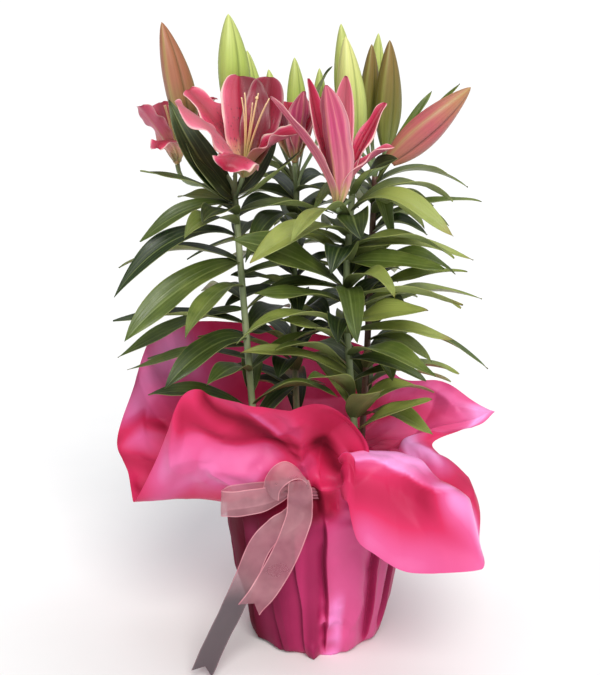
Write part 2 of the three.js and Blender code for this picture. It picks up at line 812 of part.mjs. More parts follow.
// Six filaments and the style rise from a short ovary that stands on the receptacle.
function stamenSolid(bloom) {
  const axis = vec(bloom.axis).normalize();
  const foot = vec(bloom.base).addScaledVector(axis, STAMEN_FOOT);
  const swell = (t) => OVARY[0] * Math.min(1, 0.5 + t);
  const ovary = rod((t) => foot.clone().addScaledVector(axis, OVARY[1] * t), swell, 2, 6);
  const thin = () => FILAMENT_RADIUS;
  const filaments = stamenLines(bloom).map((line) => rod((t) => line.getPoint(t), thin, 3, 3));
  return joined([ovary, ...filaments]);
}

function stamenLines(bloom) {
  const axis = vec(bloom.axis).normalize();
  const [side, other] = aroundAxis(axis);
  const top = vec(bloom.base).addScaledVector(axis, STAMEN_FOOT + OVARY[1] - 1);
  const lines = [];
  for (let i = 0; i <= FILAMENTS; i += 1) {
    const angle = (2 * Math.PI * i) / FILAMENTS + 0.4;
    const style = i === FILAMENTS;
    const out = side.clone().multiplyScalar(Math.cos(angle)).addScaledVector(other, Math.sin(angle));
    const start = top.clone().addScaledVector(out, style ? 0 : FILAMENT_CIRCLE);
    const reach = bloom.stamens * (style ? 0.02 : bloom.spread);
    const lineUp = (rise, spread) => {
      return start.clone().addScaledVector(axis, bloom.stamens * rise).addScaledVector(out, reach * spread);
    };
    const [bend, end] = [lineUp(0.6, 0.3), lineUp(1, 1)];
    lines.push(new THREE.QuadraticBezierCurve3(start, bend, end));
  }
  return lines;
}

// Leaves
function leafBlade(root, tip, width, arch, roll) {
  const chord = tip.clone().sub(root);
  const up = vec([0, 0, 1]);
  return {
    line: [
      root,
      root.clone().addScaledVector(chord, 0.33).addScaledVector(up, arch * 1.2),
      root.clone().addScaledVector(chord, 0.72).addScaledVector(up, arch * 0.8),
      tip,
    ],
    side: chord.clone().cross(up).normalize(),
    width,
    shape: leafShape,
    cup: LEAF_CUP,
    roll: radians(roll),
    ruffle: 0.9,
    waves: 1.5,
    phase: width,
    thick: LEAF_THICK,
  };
}

const LEAF_COLUMNS = [-1, 0, 1];
const LEAF_STATIONS = [0, 0.2, 0.48, 0.76];

// How far a posed leaf may lean forward or back to pass its neighbours.
const LEANS = [0, 8, -8, 16, -16, 24, -24, 34, -34, 46, -46];

function posedLeaves() {
  const blades = [];
  for (const [stem, z, tip, width, arch, roll] of POSED_LEAVES) {
    const root = stemPoint(stem, z);
    for (const lean of LEANS) {
      const blade = leafBlade(root, vec(tip).add(vec([0, lean, 0])), width, arch, roll);
      if (settle(stem, blade)) {
        blades.push({ stem, blade });
        break;
      }
    }
  }
  return blades;
}

// Each further leaf of a spiral tries a few directions, and a leaf with no room isn't grown. Leaves are
// longest halfway up the stem, and each later try is a little shorter and steeper.
const SPIRAL_TRIES = 12;
const LEAF_LENGTH = 122;
const LEAF_WIDTH = [22, 9];
const LEAF_ARCH = [10, 16];
const LEAF_ROLL = 24;
const TRY_TURN = 12;
const TRY_SHORTER = 0.035;
const TRY_STEEPER = 30;

function spiralLeaves() {
  const blades = [];
  for (const [stem, [low, high, first, count]] of Object.entries(LEAF_SPIRALS)) {
    for (let i = 0; i < count; i += 1) {
      const share = i / (count - 1);
      const z = low + (high - low) * share;
      const root = stemPoint(stem, z);
      const usual = LEAF_LENGTH * (0.72 + 0.95 * share * (1 - share) + 0.08 * draw());
      const width = LEAF_WIDTH[0] + LEAF_WIDTH[1] * draw();
      for (let k = 0; k < SPIRAL_TRIES; k += 1) {
        const angle = radians(first + GOLDEN_ANGLE * i + (draw() - 0.5) * TRY_TURN * k);
        const length = usual * (1 - TRY_SHORTER * k);
        const lift = TRY_STEEPER * (1 - share) * (k / SPIRAL_TRIES + 0.5);
        const drop = length * (0.12 - 0.4 * draw()) + lift;
        const tip = root.clone().add(vec([length * Math.cos(angle), length * Math.sin(angle), drop]));
        const arch = LEAF_ARCH[0] + LEAF_ARCH[1] * draw();
        const blade = leafBlade(root, tip, width, arch, LEAF_ROLL * (draw() - 0.5));
        if (settle(stem, blade)) {
          blades.push({ stem, blade });
          break;
        }
      }
    }
  }
  return blades;
}

// Ribbon: a flat band along a line, its face turned by the side given at its two ends.
function bandSolid({ line, sides, width, steps }) {
  const rings = [];
  for (let i = 0; i <= steps; i += 1) {
    const t = i / steps;
    const here = lineAt(line, t);
    const way = lineAt(line, Math.min(1, t + 0.01)).sub(lineAt(line, Math.max(0, t - 0.01))).normalize();
    const wish = vec(sides[0]).lerp(vec(sides[1]), t);
    const side = wish.addScaledVector(way, -wish.dot(way)).normalize();
    const normal = side.clone().cross(way);
    const across = side.multiplyScalar(width / 2);
    const up = normal.multiplyScalar(RIBBON / 2);
    const corner = (s, n) => here.clone().addScaledVector(across, s).addScaledVector(up, n);
    rings.push([corner(-1, 1), corner(1, 1), corner(1, -1), corner(-1, -1)]);
  }
  return loft(rings, 0, 2);
}

const TIE_OUTER = NECK_RADIUS + TIE_CLEAR + TIE_THICK[0];
const KNOT_CENTRE = fromFront(KNOT_ANGLE, TIE_OUTER + KNOT_SEAT, TIE_Z + KNOT_RISE);
const TIE_SIDES = 5;

function tieSolid() {
  const profile = [];
  for (let i = 0; i <= TIE_SIDES; i += 1) {
    const angle = (2 * Math.PI * i) / TIE_SIDES;
    profile.push([TIE_OUTER - TIE_THICK[0] * (1 - Math.cos(angle)), TIE_Z + TIE_THICK[1] * Math.sin(angle)]);
  }
  return lathe(profile, LATHE_SIDES);
}

function knotSolid() {
  const ball = new THREE.SphereGeometry(1, 10, 7);
  ball.scale(...KNOT_RADII);
  ball.translate(...KNOT_CENTRE);
  return solidOf(ball);
}

// The loops and tails: their line, the side's direction at its start and end, width and steps.
const BANDS = {
  ribbon_loop_left: {
    line: [
      [-24, -77.2, 175],
      [-44, -95, 173],
      [-68, -101, 171],
      [-84, -98, 170],
      [-76, -88, 171],
      [-52, -83, 173],
      [-24, -73.2, 175],
    ],
    sides: [[0, 0, 1], [0, 0, 1]],
    width: RIBBON_WIDTH,
    steps: 14,
  },
  ribbon_loop_upper: {
    line: [
      [-14.7, -78, 180.1],
      [-21, -90, 196],
      [-36, -97, 208],
      [-48, -98, 205],
      [-44, -96, 193],
      [-28, -88, 190],
      [-18, -83, 185],
    ],
    sides: [[0, 1, 0], [0, 1, 0]],
    width: RIBBON_WIDTH * 0.7,
    steps: 12,
  },
  ribbon_tail_front: {
    line: [
      [-11.5, -78.8, 161.6],
      [-17, -88, 150],
      [-28, -97, 122],
      [-45, -99, 90],
      [-61, -99, 68],
    ],
    sides: [[0.9, -0.4, 0], [1, 0.1, 0.6]],
    width: RIBBON_WIDTH,
    steps: 8,
  },
  ribbon_tail_back: {
    line: [
      [-17, -73, 161.8],
      [-22, -77, 151],
      [-36, -81, 142],
      [-51, -86, 126],
      [-64, -95, 96],
      [-78, -96, 64],
      [-92, -94, 35],
      [-105, -90, 8],
    ],
    sides: [[1, -0.1, 0], [1, 0.2, 0.8]],
    width: RIBBON_WIDTH * 0.85,
    steps: 12,
  },
};

// The plant, from the middle outward, so that each later piece can pass the earlier ones.
const STEM_SAMPLES = 60;
keep("wrap_film", filmSamples());
for (const name of Object.keys(STEMS)) {
  const samples = [];
  for (let i = 0; i <= STEM_SAMPLES; i += 1) samples.push(lineAt(STEMS[name], i / STEM_SAMPLES));
  keep(name, samples);
}

const STEM_STEPS = 10;
const STEM_SIDES = 6;
const greens = {};
for (const name of Object.keys(STEMS)) {
  const points = STEMS[name];
  const thin = (t) => STEM_RADIUS * (1 - 0.2 * t);
  greens[name] = [rod((t) => lineAt(points, t), thin, STEM_STEPS, STEM_SIDES)];
}

function growStalk(stem, from, base, way) {
  const curve = stalkCurve(stem, from, base, way);
  greens[stem].push(stalkSolid(curve));
  keep(stem, stalkSamples(curve));
}

const pieces = [];
const addPiece = (name, solid, colour) => pieces.push({ name, solid, colour });

addPiece("wrap_film", filmSolid(), "film");
addPiece("nursery_pot", potSolid(), "pot");
addPiece("potting_soil", soilSolid(), "soil");
addPiece("ribbon_tie", tieSolid(), "ribbon");
addPiece("ribbon_knot", knotSolid(), "ribbon");
for (const [name, band] of Object.entries(BANDS)) addPiece(name, bandSolid(band), "ribbon");

for (const [name, bloom] of Object.entries(BLOOMS)) {
  const axis = vec(bloom.axis).normalize();
  growStalk(bloom.stem, bloom.from, bloom.base, axis);
  tepalBlades(bloom).forEach((blade) => keep(`bloom_${name}`, bladeSamples(blade)));
  addPiece(`bloom_${name}`, bloomSolid(bloom), "petal");
  addPiece(`stamens_${name}`, stamenSolid(bloom), "stamen");
}

for (const [name, bud] of Object.entries(BUDS)) {
  const [stem, from, base, tip, , colour] = bud;
  growStalk(stem, from, base, budFrame(base, tip).way);
  keep(`bud_${name}`, [0, 0.2, 0.4, 0.6, 0.8, 0.97].flatMap((t) => budRing(bud, t, 8)));
  addPiece(`bud_${name}`, budSolid(bud), colour);
}

for (const { stem, blade } of [...posedLeaves(), ...spiralLeaves()]) {
  greens[stem].push(bladeSolid(blade, LEAF_STATIONS, LEAF_COLUMNS));
}
for (const name of Object.keys(STEMS)) addPiece(`leafy_stem_${name}`, joined(greens[name]), "leaf");

const lily = new THREE.Group();
for (const { name, solid, colour } of pieces) {
  const [color, roughness] = COLOURS[colour];
  const material = new THREE.MeshStandardMaterial({ color, roughness, metalness: 0 });
  const mesh = new THREE.Mesh(geometryOf(solid), material);
  mesh.name = name;
  lily.add(mesh);
}

export default lily;
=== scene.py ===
"""Looks of the potted lily: fine leaves, petals, buds, film and ribbon in place of the plain solids.

Places and sizes are millimetres in the part's own frame, as in the part's source, and become metres
when a mesh is made. +Z is up and -Y is the front. The rules that place the leaves, tepals, buds and
film are the part's own, so every fine piece lies where its solid does.
"""
import math

import bpy
import numpy as np
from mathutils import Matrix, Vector, noise


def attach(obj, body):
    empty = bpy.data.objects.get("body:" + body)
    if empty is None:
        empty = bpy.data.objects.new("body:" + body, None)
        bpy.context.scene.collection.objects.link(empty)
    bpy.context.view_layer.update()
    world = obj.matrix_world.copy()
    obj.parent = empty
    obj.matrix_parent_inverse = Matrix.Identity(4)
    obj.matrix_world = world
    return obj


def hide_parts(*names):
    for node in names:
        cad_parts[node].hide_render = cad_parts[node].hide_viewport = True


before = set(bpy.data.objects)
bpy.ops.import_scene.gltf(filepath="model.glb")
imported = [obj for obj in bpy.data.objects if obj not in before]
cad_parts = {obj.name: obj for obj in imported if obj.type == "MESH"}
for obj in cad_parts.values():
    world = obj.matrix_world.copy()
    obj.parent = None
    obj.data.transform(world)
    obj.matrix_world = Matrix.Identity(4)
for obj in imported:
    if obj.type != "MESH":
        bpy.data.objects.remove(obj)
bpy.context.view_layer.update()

MM = 0.001
SEED = 2027
UP = np.array([0.0, 0.0, 1.0])
BACK = np.array([0.0, 1.0, 0.0])

# Driving dimensions, as in the part's source
GAP = 0.3
FILM = 0.8
FOOT_RADIUS = 54
NECK_RADIUS = 64
NECK_LOW = 160
NECK_HIGH = 173
POT_FOOT = FILM + GAP
POT_FOOT_RADIUS = 53
POT_SHOULDER = 128
POT_SHOULDER_RADIUS = 70.5
POT_WALL = 1.6
POT_FLOOR = 2
SOIL_TOP = 124
SOIL_CROWN = 4
STEM_RADIUS = 3.6
STEM_FOOT = 70
STALK_RADIUS = 2.3
RIBBON_WIDTH = 24
TIE_Z = 167
TIE_CLEAR = 4.1
TIE_THICK = 2.2
KNOT_ANGLE = 11
KNOT_RISE = 4
KNOT_SEAT = 6.3
LEAF_CUP = 0.35
LEAF_CLEAR = 7.5
SISTER_CLEAR = 5
GOLDEN_ANGLE = 137.508
DRAW_FACTOR = 16807
DRAW_RANGE = 2147483647

FILM_BODY = [
    [FOOT_RADIUS, 0],
    [57.5, 5],
    [70, 92],
    [77.3, 130],
    [77.5, 144],
    [NECK_RADIUS, NECK_LOW],
    [NECK_RADIUS, NECK_HIGH],
]
COLLAR_ROWS = 5

# Collar ribs: angle clockwise from the front, the free end's place, how far out it turns, first rise
RIBS = [
    [-14, 38, -95, 222, 0.45, 35],
    [-5, 8, -101, 260, 0.4, 40],
    [8, -42, -110, 263, 0.4, 40],
    [22, -91, -101, 266, 0.7, 15],
    [34, -115, -90, 268, 0.85, 0],
    [46, -132, -80, 227, 0.8, -18],
    [60, -163, -58, 160, 0.6, -25],
    [74, -175, -25, 170, 0.6, -18],
    [88, -188, 10, 192, 0.6, -10],
    [100, -175, 46, 235, 0.8, 0],
    [112, -164, 62, 271, 0.85, 5],
    [124, -149, 90, 281, 0.85, 10],
    [138, -117, 120, 280, 0.8, 10],
    [153, -75, 145, 272, 0.75, 10],
    [170, -10, 157, 260, 0.7, 10],
    [188, 55, 150, 244, 0.7, 10],
    [203, 89, 130, 217, 0.6, 10],
    [216, 129, 115, 218, 0.7, 5],
    [228, 153, 100, 208, 0.7, 5],
    [240, 176, 80, 190, 0.6, 5],
    [252, 143, 50, 187, 0.5, 12],
    [262, 113, 24, 182, 0.5, 18],
    [272, 126, -6, 174, 0.5, 25],
    [284, 141, -75, 158, 0.45, 35],
    [293, 141, -108, 141, 0.45, 55],
    [301, 138, -132, 130, 0.45, 75],
    [308, 113, -138, 124, 0.45, 88],
    [315, 93, -138, 122, 0.45, 92],
    [321, 72, -136, 124, 0.45, 94],
    [327, 50, -130, 136, 0.5, 92],
    [333, 34, -122, 149, 0.55, 85],
    [339, 27, -111, 184, 0.6, 70],
]

# Pleats round the pot: angle, half width in degrees, and how far each stands out
PLEATS = [
    [-34, 9, 4.5],
    [-62, 7, 5],
    [-84, 12, 7],
    [4, 8, 4],
    [32, 14, 3],
    [66, 9, 5],
    [96, 8, 4],
    [124, 10, 5],
    [150, 8, 4],
    [178, 11, 5],
    [206, 8, 4],
    [232, 10, 5],
    [256, 9, 4],
]
PLEAT_SHARE = [0, 0.6, 1, 0.6, 0.5, 0.15, 0.1]

STEMS = {
    "front_left": [
        [-50, -18, STEM_FOOT],
        [-50, -18, 100],
        [-50, -18, 132],
        [-59, -20, 236],
        [-66, -20, 335],
        [-72, -20, 421],
        [-72, -22, 432],
    ],
    "front_right": [
        [44, -30, STEM_FOOT],
        [44, -30, 100],
        [43, -30, 132],
        [33, -30, 240],
        [26, -30, 340],
        [30, -31, 423],
        [31, -32, 434],
    ],
    "back_right": [
        [42, 26, STEM_FOOT],
        [42, 26, 100],
        [42, 26, 132],
        [48, 30, 250],
        [52, 30, 380],
        [54, 31, 440],
    ],
    "back_middle": [
        [-14, 32, STEM_FOOT],
        [-14, 32, 100],
        [-15, 32, 132],
        [-19, 34, 230],
        [-21, 35, 312],
        [-18, 35, 432],
    ],
}

# Buds: stem, height where the stalk leaves it, base, tip, greatest radius, colour
BUDS = {
    "left_rose": ["front_left", 426, [-116, 30, 480], [-138, 26, 578], 13, "rose"],
    "left_green": ["front_left", 428, [-74, 34, 496], [-79, 30, 585], 14, "green"],
    "left_hidden": ["back_middle", 424, [-56, 66, 479], [-64, 66, 552], 9, "green"],
    "middle_small": ["back_middle", 420, [-38, 58, 487], [-44, 60, 535], 7, "green"],
    "middle_green": ["back_middle", 426, [-18, 56, 474], [-20, 54, 546], 9, "green"],
    "middle_slim": ["back_middle", 422, [3, 62, 483], [3, 62, 536], 6.5, "green"],
    "right_yellow": ["front_right", 430, [32, -16, 470], [24, -19, 567], 12.5, "yellow_green"],
    "right_tall": ["back_right", 436, [27, 20, 488], [21, 12, 577], 9.5, "green"],
    "right_back": ["back_right", 434, [52, 50, 485], [56, 44, 568], 8.5, "green"],
    "right_brown": ["back_right", 436, [62, 14, 470], [64, 10, 563], 11.5, "brown_green"],
    "right_brown_back": ["back_right", 432, [46, 30, 478], [49, 24, 559], 9, "brown_green"],
    "right_salmon": ["front_right", 426, [62, -38, 463], [131, -34, 525], 13.5, "salmon"],
}

# Blooms: stem, height of the stalk, base, axis, tube, filaments' length and spread, and the tepals:
# tip, width, how far the middle bows outward, cup of the edges, ruffle
BLOOMS = {
    "left": dict(
        stem="front_left", start=422, base=[-65, -30, 448], axis=[0.18, -0.3, 1],
        tube=30, stamens=58, spread=0.2,
        tepals=[
            [[-68, 2, 532], 44, 4, 0.42, 1.5],
            [[-42, 6, 531], 42, 3, 0.38, 1.5],
            [[-114, 4, 520], 34, 2, 0.3, 2.5],
            [[-118, -70, 514], 36, 8, -0.25, 3],
            [[-76, -98, 462], 40, 20, -0.3, 2.5],
            [[-17, -52, 487], 36, 4, 0.5, 2],
        ],
    ),
    "right": dict(
        stem="front_right", start=424, base=[17, -58, 426], axis=[0.02, -0.1, 1],
        tube=34, stamens=26, spread=0.02,
        tepals=[
            [[-39, -88, 521], 26, 6, 0.45, 0.5],
            [[-8, -44, 533], 30, 5, 0.45, 0.5],
            [[6, -82, 530], 42, 9, 0.6, 0.5],
            [[24, -42, 535], 34, 5, 0.45, 0.5],
            [[58, -36, 512], 26, 8, 0.5, 1.5],
            [[64, -70, 478], 26, 8, 0.4, 1.5],
        ],
    ),
    "middle": dict(
        stem="back_middle", start=418, base=[-20, 14, 455], axis=[0, -0.25, 1],
        tube=28, stamens=24, spread=0.03,
        tepals=[
            [[-35, -3, 519], 32, 4, 0.35, 1.5],
            [[-12, -10, 520], 32, 4, 0.35, 1.5],
            [[5, 8, 514], 30, 4, 0.35, 1.5],
            [[-6, 30, 508], 28, 4, 0.4, 1],
            [[-27, 36, 507], 28, 4, 0.4, 1],
            [[-46, 24, 508], 28, 4, 0.35, 1.5],
        ],
    ),
    "far_left": dict(
        stem="front_left", start=420, base=[-130, 56, 448], axis=[-0.1, 0, 1],
        tube=26, stamens=40, spread=0.12,
        tepals=[
            [[-158, 14, 505], 24, 4, 0.3, 2],
            [[-160, 52, 500], 28, 5, 0.3, 2],
            [[-148, 92, 502], 30, 5, 0.3, 2],
            [[-112, 102, 506], 28, 4, 0.3, 2],
            [[-94, 72, 508], 26, 4, 0.3, 2],
            [[-142, -6, 470], 26, 8, -0.2, 2],
        ],
    ),
}
RECEPTACLE = (3.4, 7)
INNER_WHORL = (2.2, 7.5)
OUTER_WHORL = (2.6, 10.5)
FILAMENTS = 6
STAMEN_FOOT = RECEPTACLE[1] + GAP
OVARY = (1.7, 9)
FILAMENT_CIRCLE = 0.9

# Leaves that stand alone in the outline: stem, height of the root, tip, width, arch, roll in degrees
POSED_LEAVES = [
    ["front_left", 421, [-156, -35, 390], 22, 16, 35],
    ["front_left", 392, [-179, -55, 345], 27, 30, 40],
    ["front_left", 370, [-167, -75, 312], 36, 14, 40],
    ["front_left", 326, [-183, -12, 280], 26, 12, 30],
    ["front_left", 300, [-133, -78, 272], 30, 14, 35],
    ["front_left", 292, [-178, 12, 257], 20, 10, 25],
    ["front_left", 267, [-95, -92, 280], 26, 14, 10],
    ["front_left", 416, [-128, 28, 424], 20, 8, 20],
    ["front_left", 424, [-113, -36, 482], 22, -12, 40],
    ["front_left", 418, [-158, -2, 446], 12, 14, 0],
    ["front_left", 426, [-14, -62, 472], 15, -6, -30],
    ["front_left", 412, [-96, -92, 420], 26, 10, 0],
    ["front_right", 347, [-73, -78, 402], 38, 8, 55],
    ["front_right", 396, [-57, -98, 386], 34, 22, 15],
    ["front_right", 386, [-52, -14, 388], 24, 14, 10],
    ["front_right", 334, [-54, -66, 352], 24, 8, 25],
    ["front_right", 292, [-32, -62, 326], 24, 8, 20],
    ["front_right", 267, [-69, -48, 289], 24, 10, 20],
    ["front_right", 246, [-9, -92, 282], 30, 12, 0],
    ["front_right", 224, [56, -82, 272], 34, 8, 0],
    ["front_right", 212, [103, -56, 250], 24, 8, -20],
    ["front_right", 416, [114, -84, 402], 28, 34, -30],
    ["back_right", 401, [150, 10, 423], 17, 4, -20],
    ["back_right", 412, [70, -4, 386], 24, 34, 0],
    ["front_right", 383, [137, -44, 376], 22, 14, -25],
    ["front_right", 372, [108, -78, 372], 26, 6, -40],
    ["front_right", 338, [124, -84, 346], 22, 14, 30],
    ["front_right", 345, [62, -98, 362], 24, 24, 0],
    ["back_right", 333, [138, 0, 360], 18, 6, -20],
    ["front_right", 314, [96, -70, 334], 30, 8, -30],
    ["front_right", 430, [116, -64, 476], 20, 18, -40],
    ["front_right", 431, [88, -78, 505], 14, 8, -20],
    ["back_right", 430, [126, 4, 526], 14, 10, -20],
    ["back_right", 428, [106, 34, 512], 14, 8, -20],
    ["front_right", 306, [122, -44, 308], 22, 10, -20],
    ["back_right", 284, [108, 6, 274], 22, 10, -20],
    ["front_right", 282, [96, -66, 270], 24, 10, -20],
]

# The other leaves: the lowest and highest root, the first leaf's angle and how many there are
LEAF_SPIRALS = {
    "front_left": [212, 414, 40, 19],
    "front_right": [212, 418, 200, 18],
    "back_right": [208, 432, 310, 25],
    "back_middle": [208, 424, 90, 26],
}

# Leaves between those, that fill the middle of the plant
INNER_SPIRALS = {
    "back_middle": [222, 430, 10, 52],
    "back_right": [300, 425, 160, 14],
    "front_right": [290, 410, 120, 10],
}
INNER_SHORTER = 0.62

# Broad leaves close under the blooms, in the same numbers as the leaves that stand alone
BROAD_LEAVES = [
    ["front_left", 427, [-130, -8, 512], 34, -14, 60],
    ["front_left", 429, [-36, 20, 486], 20, -8, -40],
    ["front_right", 429, [66, -86, 470], 22, 14, -50],
    ["back_middle", 431, [14, 42, 538], 14, 24, 20],
]
SPIRAL_TRIES = 12
LEAF_LENGTH = 122
LEAF_WIDTH = (22, 9)
LEAF_ARCH = (10, 16)
LEAF_ROLL = 24
LEAF_GROWTH = (0.72, 0.95, 0.08)
LEAF_DROP = (0.12, 0.4)
TRY_TURN = 12
TRY_SHORTER = 0.035
TRY_STEEPER = 30
LEANS = [0, 8, -8, 16, -16, 24, -24, 34, -34, 46, -46]
STEM_SAMPLES = 60
STALK_SAMPLES = 12
SAMPLE_ROWS = 20
SISTER_ROOT = 7


class Draws:
    """Numbers from 0 to 1 that seem random and come out the same each time."""

    def __init__(self, seed):
        self.state = seed

    def next(self):
        self.state = (self.state * DRAW_FACTOR) % DRAW_RANGE
        return self.state / DRAW_RANGE


def unit(v):
    v = np.asarray(v, float)
    return v / np.linalg.norm(v, axis=-1, keepdims=True)


def spline(row, where):
    """A smooth line through rows of numbers at a place counted in rows."""
    k = math.floor(where)
    f = where - k
    a, b, c, d = (np.asarray(row(k + i), float) for i in (-1, 0, 1, 2))
    return b + 0.5 * f * (c - a + f * (2 * a - 5 * b + 4 * c - d + f * (3 * b - a - 3 * c + d)))


def line_at(points, share):
    """A point of an open line, which is carried on straight past its ends."""
    points = np.asarray(points, float)
    last = len(points) - 1

    def row(k):
        if k < 0:
            return points[0] - (points[1] - points[0]) * -k
        if k > last:
            return points[last] + (points[last] - points[last - 1]) * (k - last)
        return points[k]

    return spline(row, min(share, 0.99999) * last)


def bezier(line, t):
    """Points of a quadratic or cubic line at each t."""
    t = np.asarray(t, float)[..., None]
    u = 1 - t
    if len(line) == 3:
        a, b, c = line
        return u**2 * a + 2 * u * t * b + t**2 * c
    a, b, c, d = line
    return u**3 * a + 3 * u**2 * t * b + 3 * u * t**2 * c + t**3 * d


def round_angles(count):
    return np.linspace(0, 2 * np.pi, count, endpoint=False)


def smoothstep(low, high, value):
    x = np.clip((value - low) / (high - low), 0, 1)
    return x * x * (3 - 2 * x)


def turned(angle, middle):
    """Degrees from a middle angle, between -180 and 180."""
    return (angle - middle + 180) % 360 - 180


# Meshes
def add_object(name, data):
    made = bpy.data.objects.new(name, data)
    bpy.context.scene.collection.objects.link(made)
    return made


def make_mesh(name, points, faces, material, marks=None):
    """A smooth mesh from millimetre points. marks are named numbers for each point, for the materials."""
    mesh = bpy.data.meshes.new(name)
    mesh.from_pydata((np.asarray(points, float) * MM).tolist(), [], faces)
    mesh.update()
    mesh.materials.append(material)
    mesh.polygons.foreach_set("use_smooth", np.ones(len(mesh.polygons), bool))
    for key, values in (marks or {}).items():
        layer = mesh.attributes.new(key, "FLOAT", "POINT")
        layer.data.foreach_set("value", np.asarray(values, np.float32))
    return add_object(name, mesh)


def make_piece(name, node, points, faces, material, marks=None):
    """A fine piece in place of its plain solid, with its material."""
    piece = make_mesh(name, points, faces, material, marks)
    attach(piece, "root")
    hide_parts(node)
    return piece


class Builder:
    """Gathers several closed shapes with their marks into one mesh."""

    def __init__(self, *keys):
        self.points = []
        self.faces = []
        self.marks = {key: [] for key in keys}
        self.count = 0

    def add(self, points, faces, marks):
        points = np.asarray(points, float).reshape(-1, 3)
        self.points.append(points)
        self.faces.extend([tuple(i + self.count for i in face) for face in faces])
        for key, rows in self.marks.items():
            rows.append(np.broadcast_to(marks.get(key, 0.0), (len(points),)).astype(float))
        self.count += len(points)

    def piece(self, name, node, slot, material):
        marks = {key: np.concatenate(rows) for key, rows in self.marks.items()}
        return make_piece(name, node, np.concatenate(self.points), self.faces, material, marks)


def grid_faces(rows, columns, closed=False, start=0):
    """Quads of a grid of points, row by row. In a closed grid the last column meets the first."""
    faces = []
    for i in range(rows - 1):
        for k in range(columns if closed else columns - 1):
            a = start + i * columns + k
            b = start + i * columns + (k + 1) % columns
            faces.append((a, b, b + columns, a + columns))
    return faces


def capped_faces(rows, columns):
    """Faces of a closed grid with a flat cap at each end."""
    first = tuple(range(columns))[::-1]
    last = tuple((rows - 1) * columns + k for k in range(columns))
    return grid_faces(rows, columns, True) + [first, last]


def column_faces(columns, rows, start=0):
    """Quads of a grid of points, column by column, whose last column meets the first."""
    faces = []
    for k in range(columns):
        a = start + k * rows
        b = start + (k + 1) % columns * rows
        faces.extend((a + i, a + i + 1, b + i + 1, b + i) for i in range(rows - 1))
    return faces


def tube(builder, point_at, radius_at, steps, sides, marks):
    """A round rod along a line with closed ends."""
    shares = np.linspace(0, 1, steps + 1)
    line = np.array([point_at(t) for t in shares])
    ways = unit(np.gradient(line, axis=0))
    side = unit(np.cross([1.0, 0.0, 0.0] if abs(ways[0][2]) > 0.8 else UP, ways[0]))
    angles = round_angles(sides)
    rings = []
    for here, way, t in zip(line, ways, shares):
        side = unit(side - way * side.dot(way))
        ring = np.outer(np.cos(angles), side) + np.outer(np.sin(angles), np.cross(way, side))
        rings.append(here + ring * radius_at(t))
    marks = dict(marks, along=np.repeat(shares, sides))
    builder.add(np.concatenate(rings), capped_faces(steps + 1, sides), marks)


# Blades: leaves and tepals
def leaf_shape(t):
    return 2.6 * (t + 0.01) ** 0.72 * np.maximum(1 - t, 0) ** 0.78


def tepal_shape(t):
    return 2.64 * (t + 0.02) ** 1.05 * np.maximum(1.01 - t, 0) ** 0.6


def blade_frame(blade, t):
    """Points of a blade's middle line, with the directions of its side and of its face there."""
    t = np.asarray(t, float)
    a, b, c, d = blade["line"]
    u, v = 1 - t[:, None], t[:, None]
    way = unit(3 * u**2 * (b - a) + 6 * u * v * (c - b) + 3 * v**2 * (d - c))
    normal = unit(np.cross(blade["side"], way))
    side = np.cross(way, normal)
    roll = (blade["roll"] * t ** blade.get("ease", 1))[:, None]
    rolled = side * np.cos(roll) + normal * np.sin(roll)
    return bezier(blade["line"], t), rolled, normal * np.cos(roll) - side * np.sin(roll)


def blade_wave(blade, t, s):
    """How far a blade's waved edges rise, at shares along it and across it."""
    wave = np.sin(blade["waves"] * t * 2 * np.pi + s + blade["phase"])
    return blade["ruffle"] * (s * s) * wave * np.minimum(1, 3 * t)


def blade_samples(blade, first=2):
    """Points spread over a blade, by which its distance from other pieces is judged."""
    t = np.minimum(np.arange(first, SAMPLE_ROWS + 1) / SAMPLE_ROWS, 0.999)
    here, side, normal = blade_frame(blade, t)
    half = (blade["width"] / 2 * blade["shape"](t))[:, None]
    s = np.arange(-2, 3)[None, :] / 2
    rise = half * np.abs(s) * math.sin(blade["cup"]) + blade_wave(blade, t[:, None], s)
    out = half * s * math.cos(blade["cup"])
    points = here[:, None] + side[:, None] * out[..., None] + normal[:, None] * rise[..., None]
    return points.reshape(-1, 3)


# What is placed so far: its owner, points of it, the points that leaves of the same stem keep clear of,
# and the middle and radius of a ball round it
placed = []


def ball(samples):
    centre = (samples.min(0) + samples.max(0)) / 2
    return centre, np.linalg.norm(samples - centre, axis=1).max()


def keep(owner, samples, sisters=None):
    samples = np.asarray(samples, float)
    placed.append((owner, samples, sisters, *ball(samples)))


def apart(some, others, clearance):
    if others is None or not len(others):
        return True
    gaps = some[:, None, :] - others[None, :, :]
    return bool(((gaps**2).sum(-1) > clearance * clearance).all())


def settle(stem, blade):
    """Keeps a leaf if it is clear of every other piece, and of its own stem's leaves past their roots."""
    samples = blade_samples(blade)
    sisters = blade_samples(blade, SISTER_ROOT)
    centre, radius = ball(samples)
    for owner, theirs, their_sisters, middle, reach in placed:
        if np.linalg.norm(centre - middle) > radius + reach + LEAF_CLEAR:
            continue
        if owner == stem:
            if not apart(sisters, their_sisters, SISTER_CLEAR):
                return False
        elif not apart(samples, theirs, LEAF_CLEAR):
            return False
    keep(stem, samples, sisters)
    return True


# Film
def from_front(angle, radius, z):
    angle = math.radians(angle)
    return [-radius * math.sin(angle), -radius * math.cos(angle), z]


def rib_at(where):
    n = len(RIBS)

    def row(k):
        turns = k // n
        angle, *rest = RIBS[k - turns * n]
        return [angle + 360 * turns, *rest]

    return spline(row, where)


def pleat_at(angle):
    return sum(out * math.exp(-((turned(angle, middle) / width) ** 2)) for middle, width, out in PLEATS)


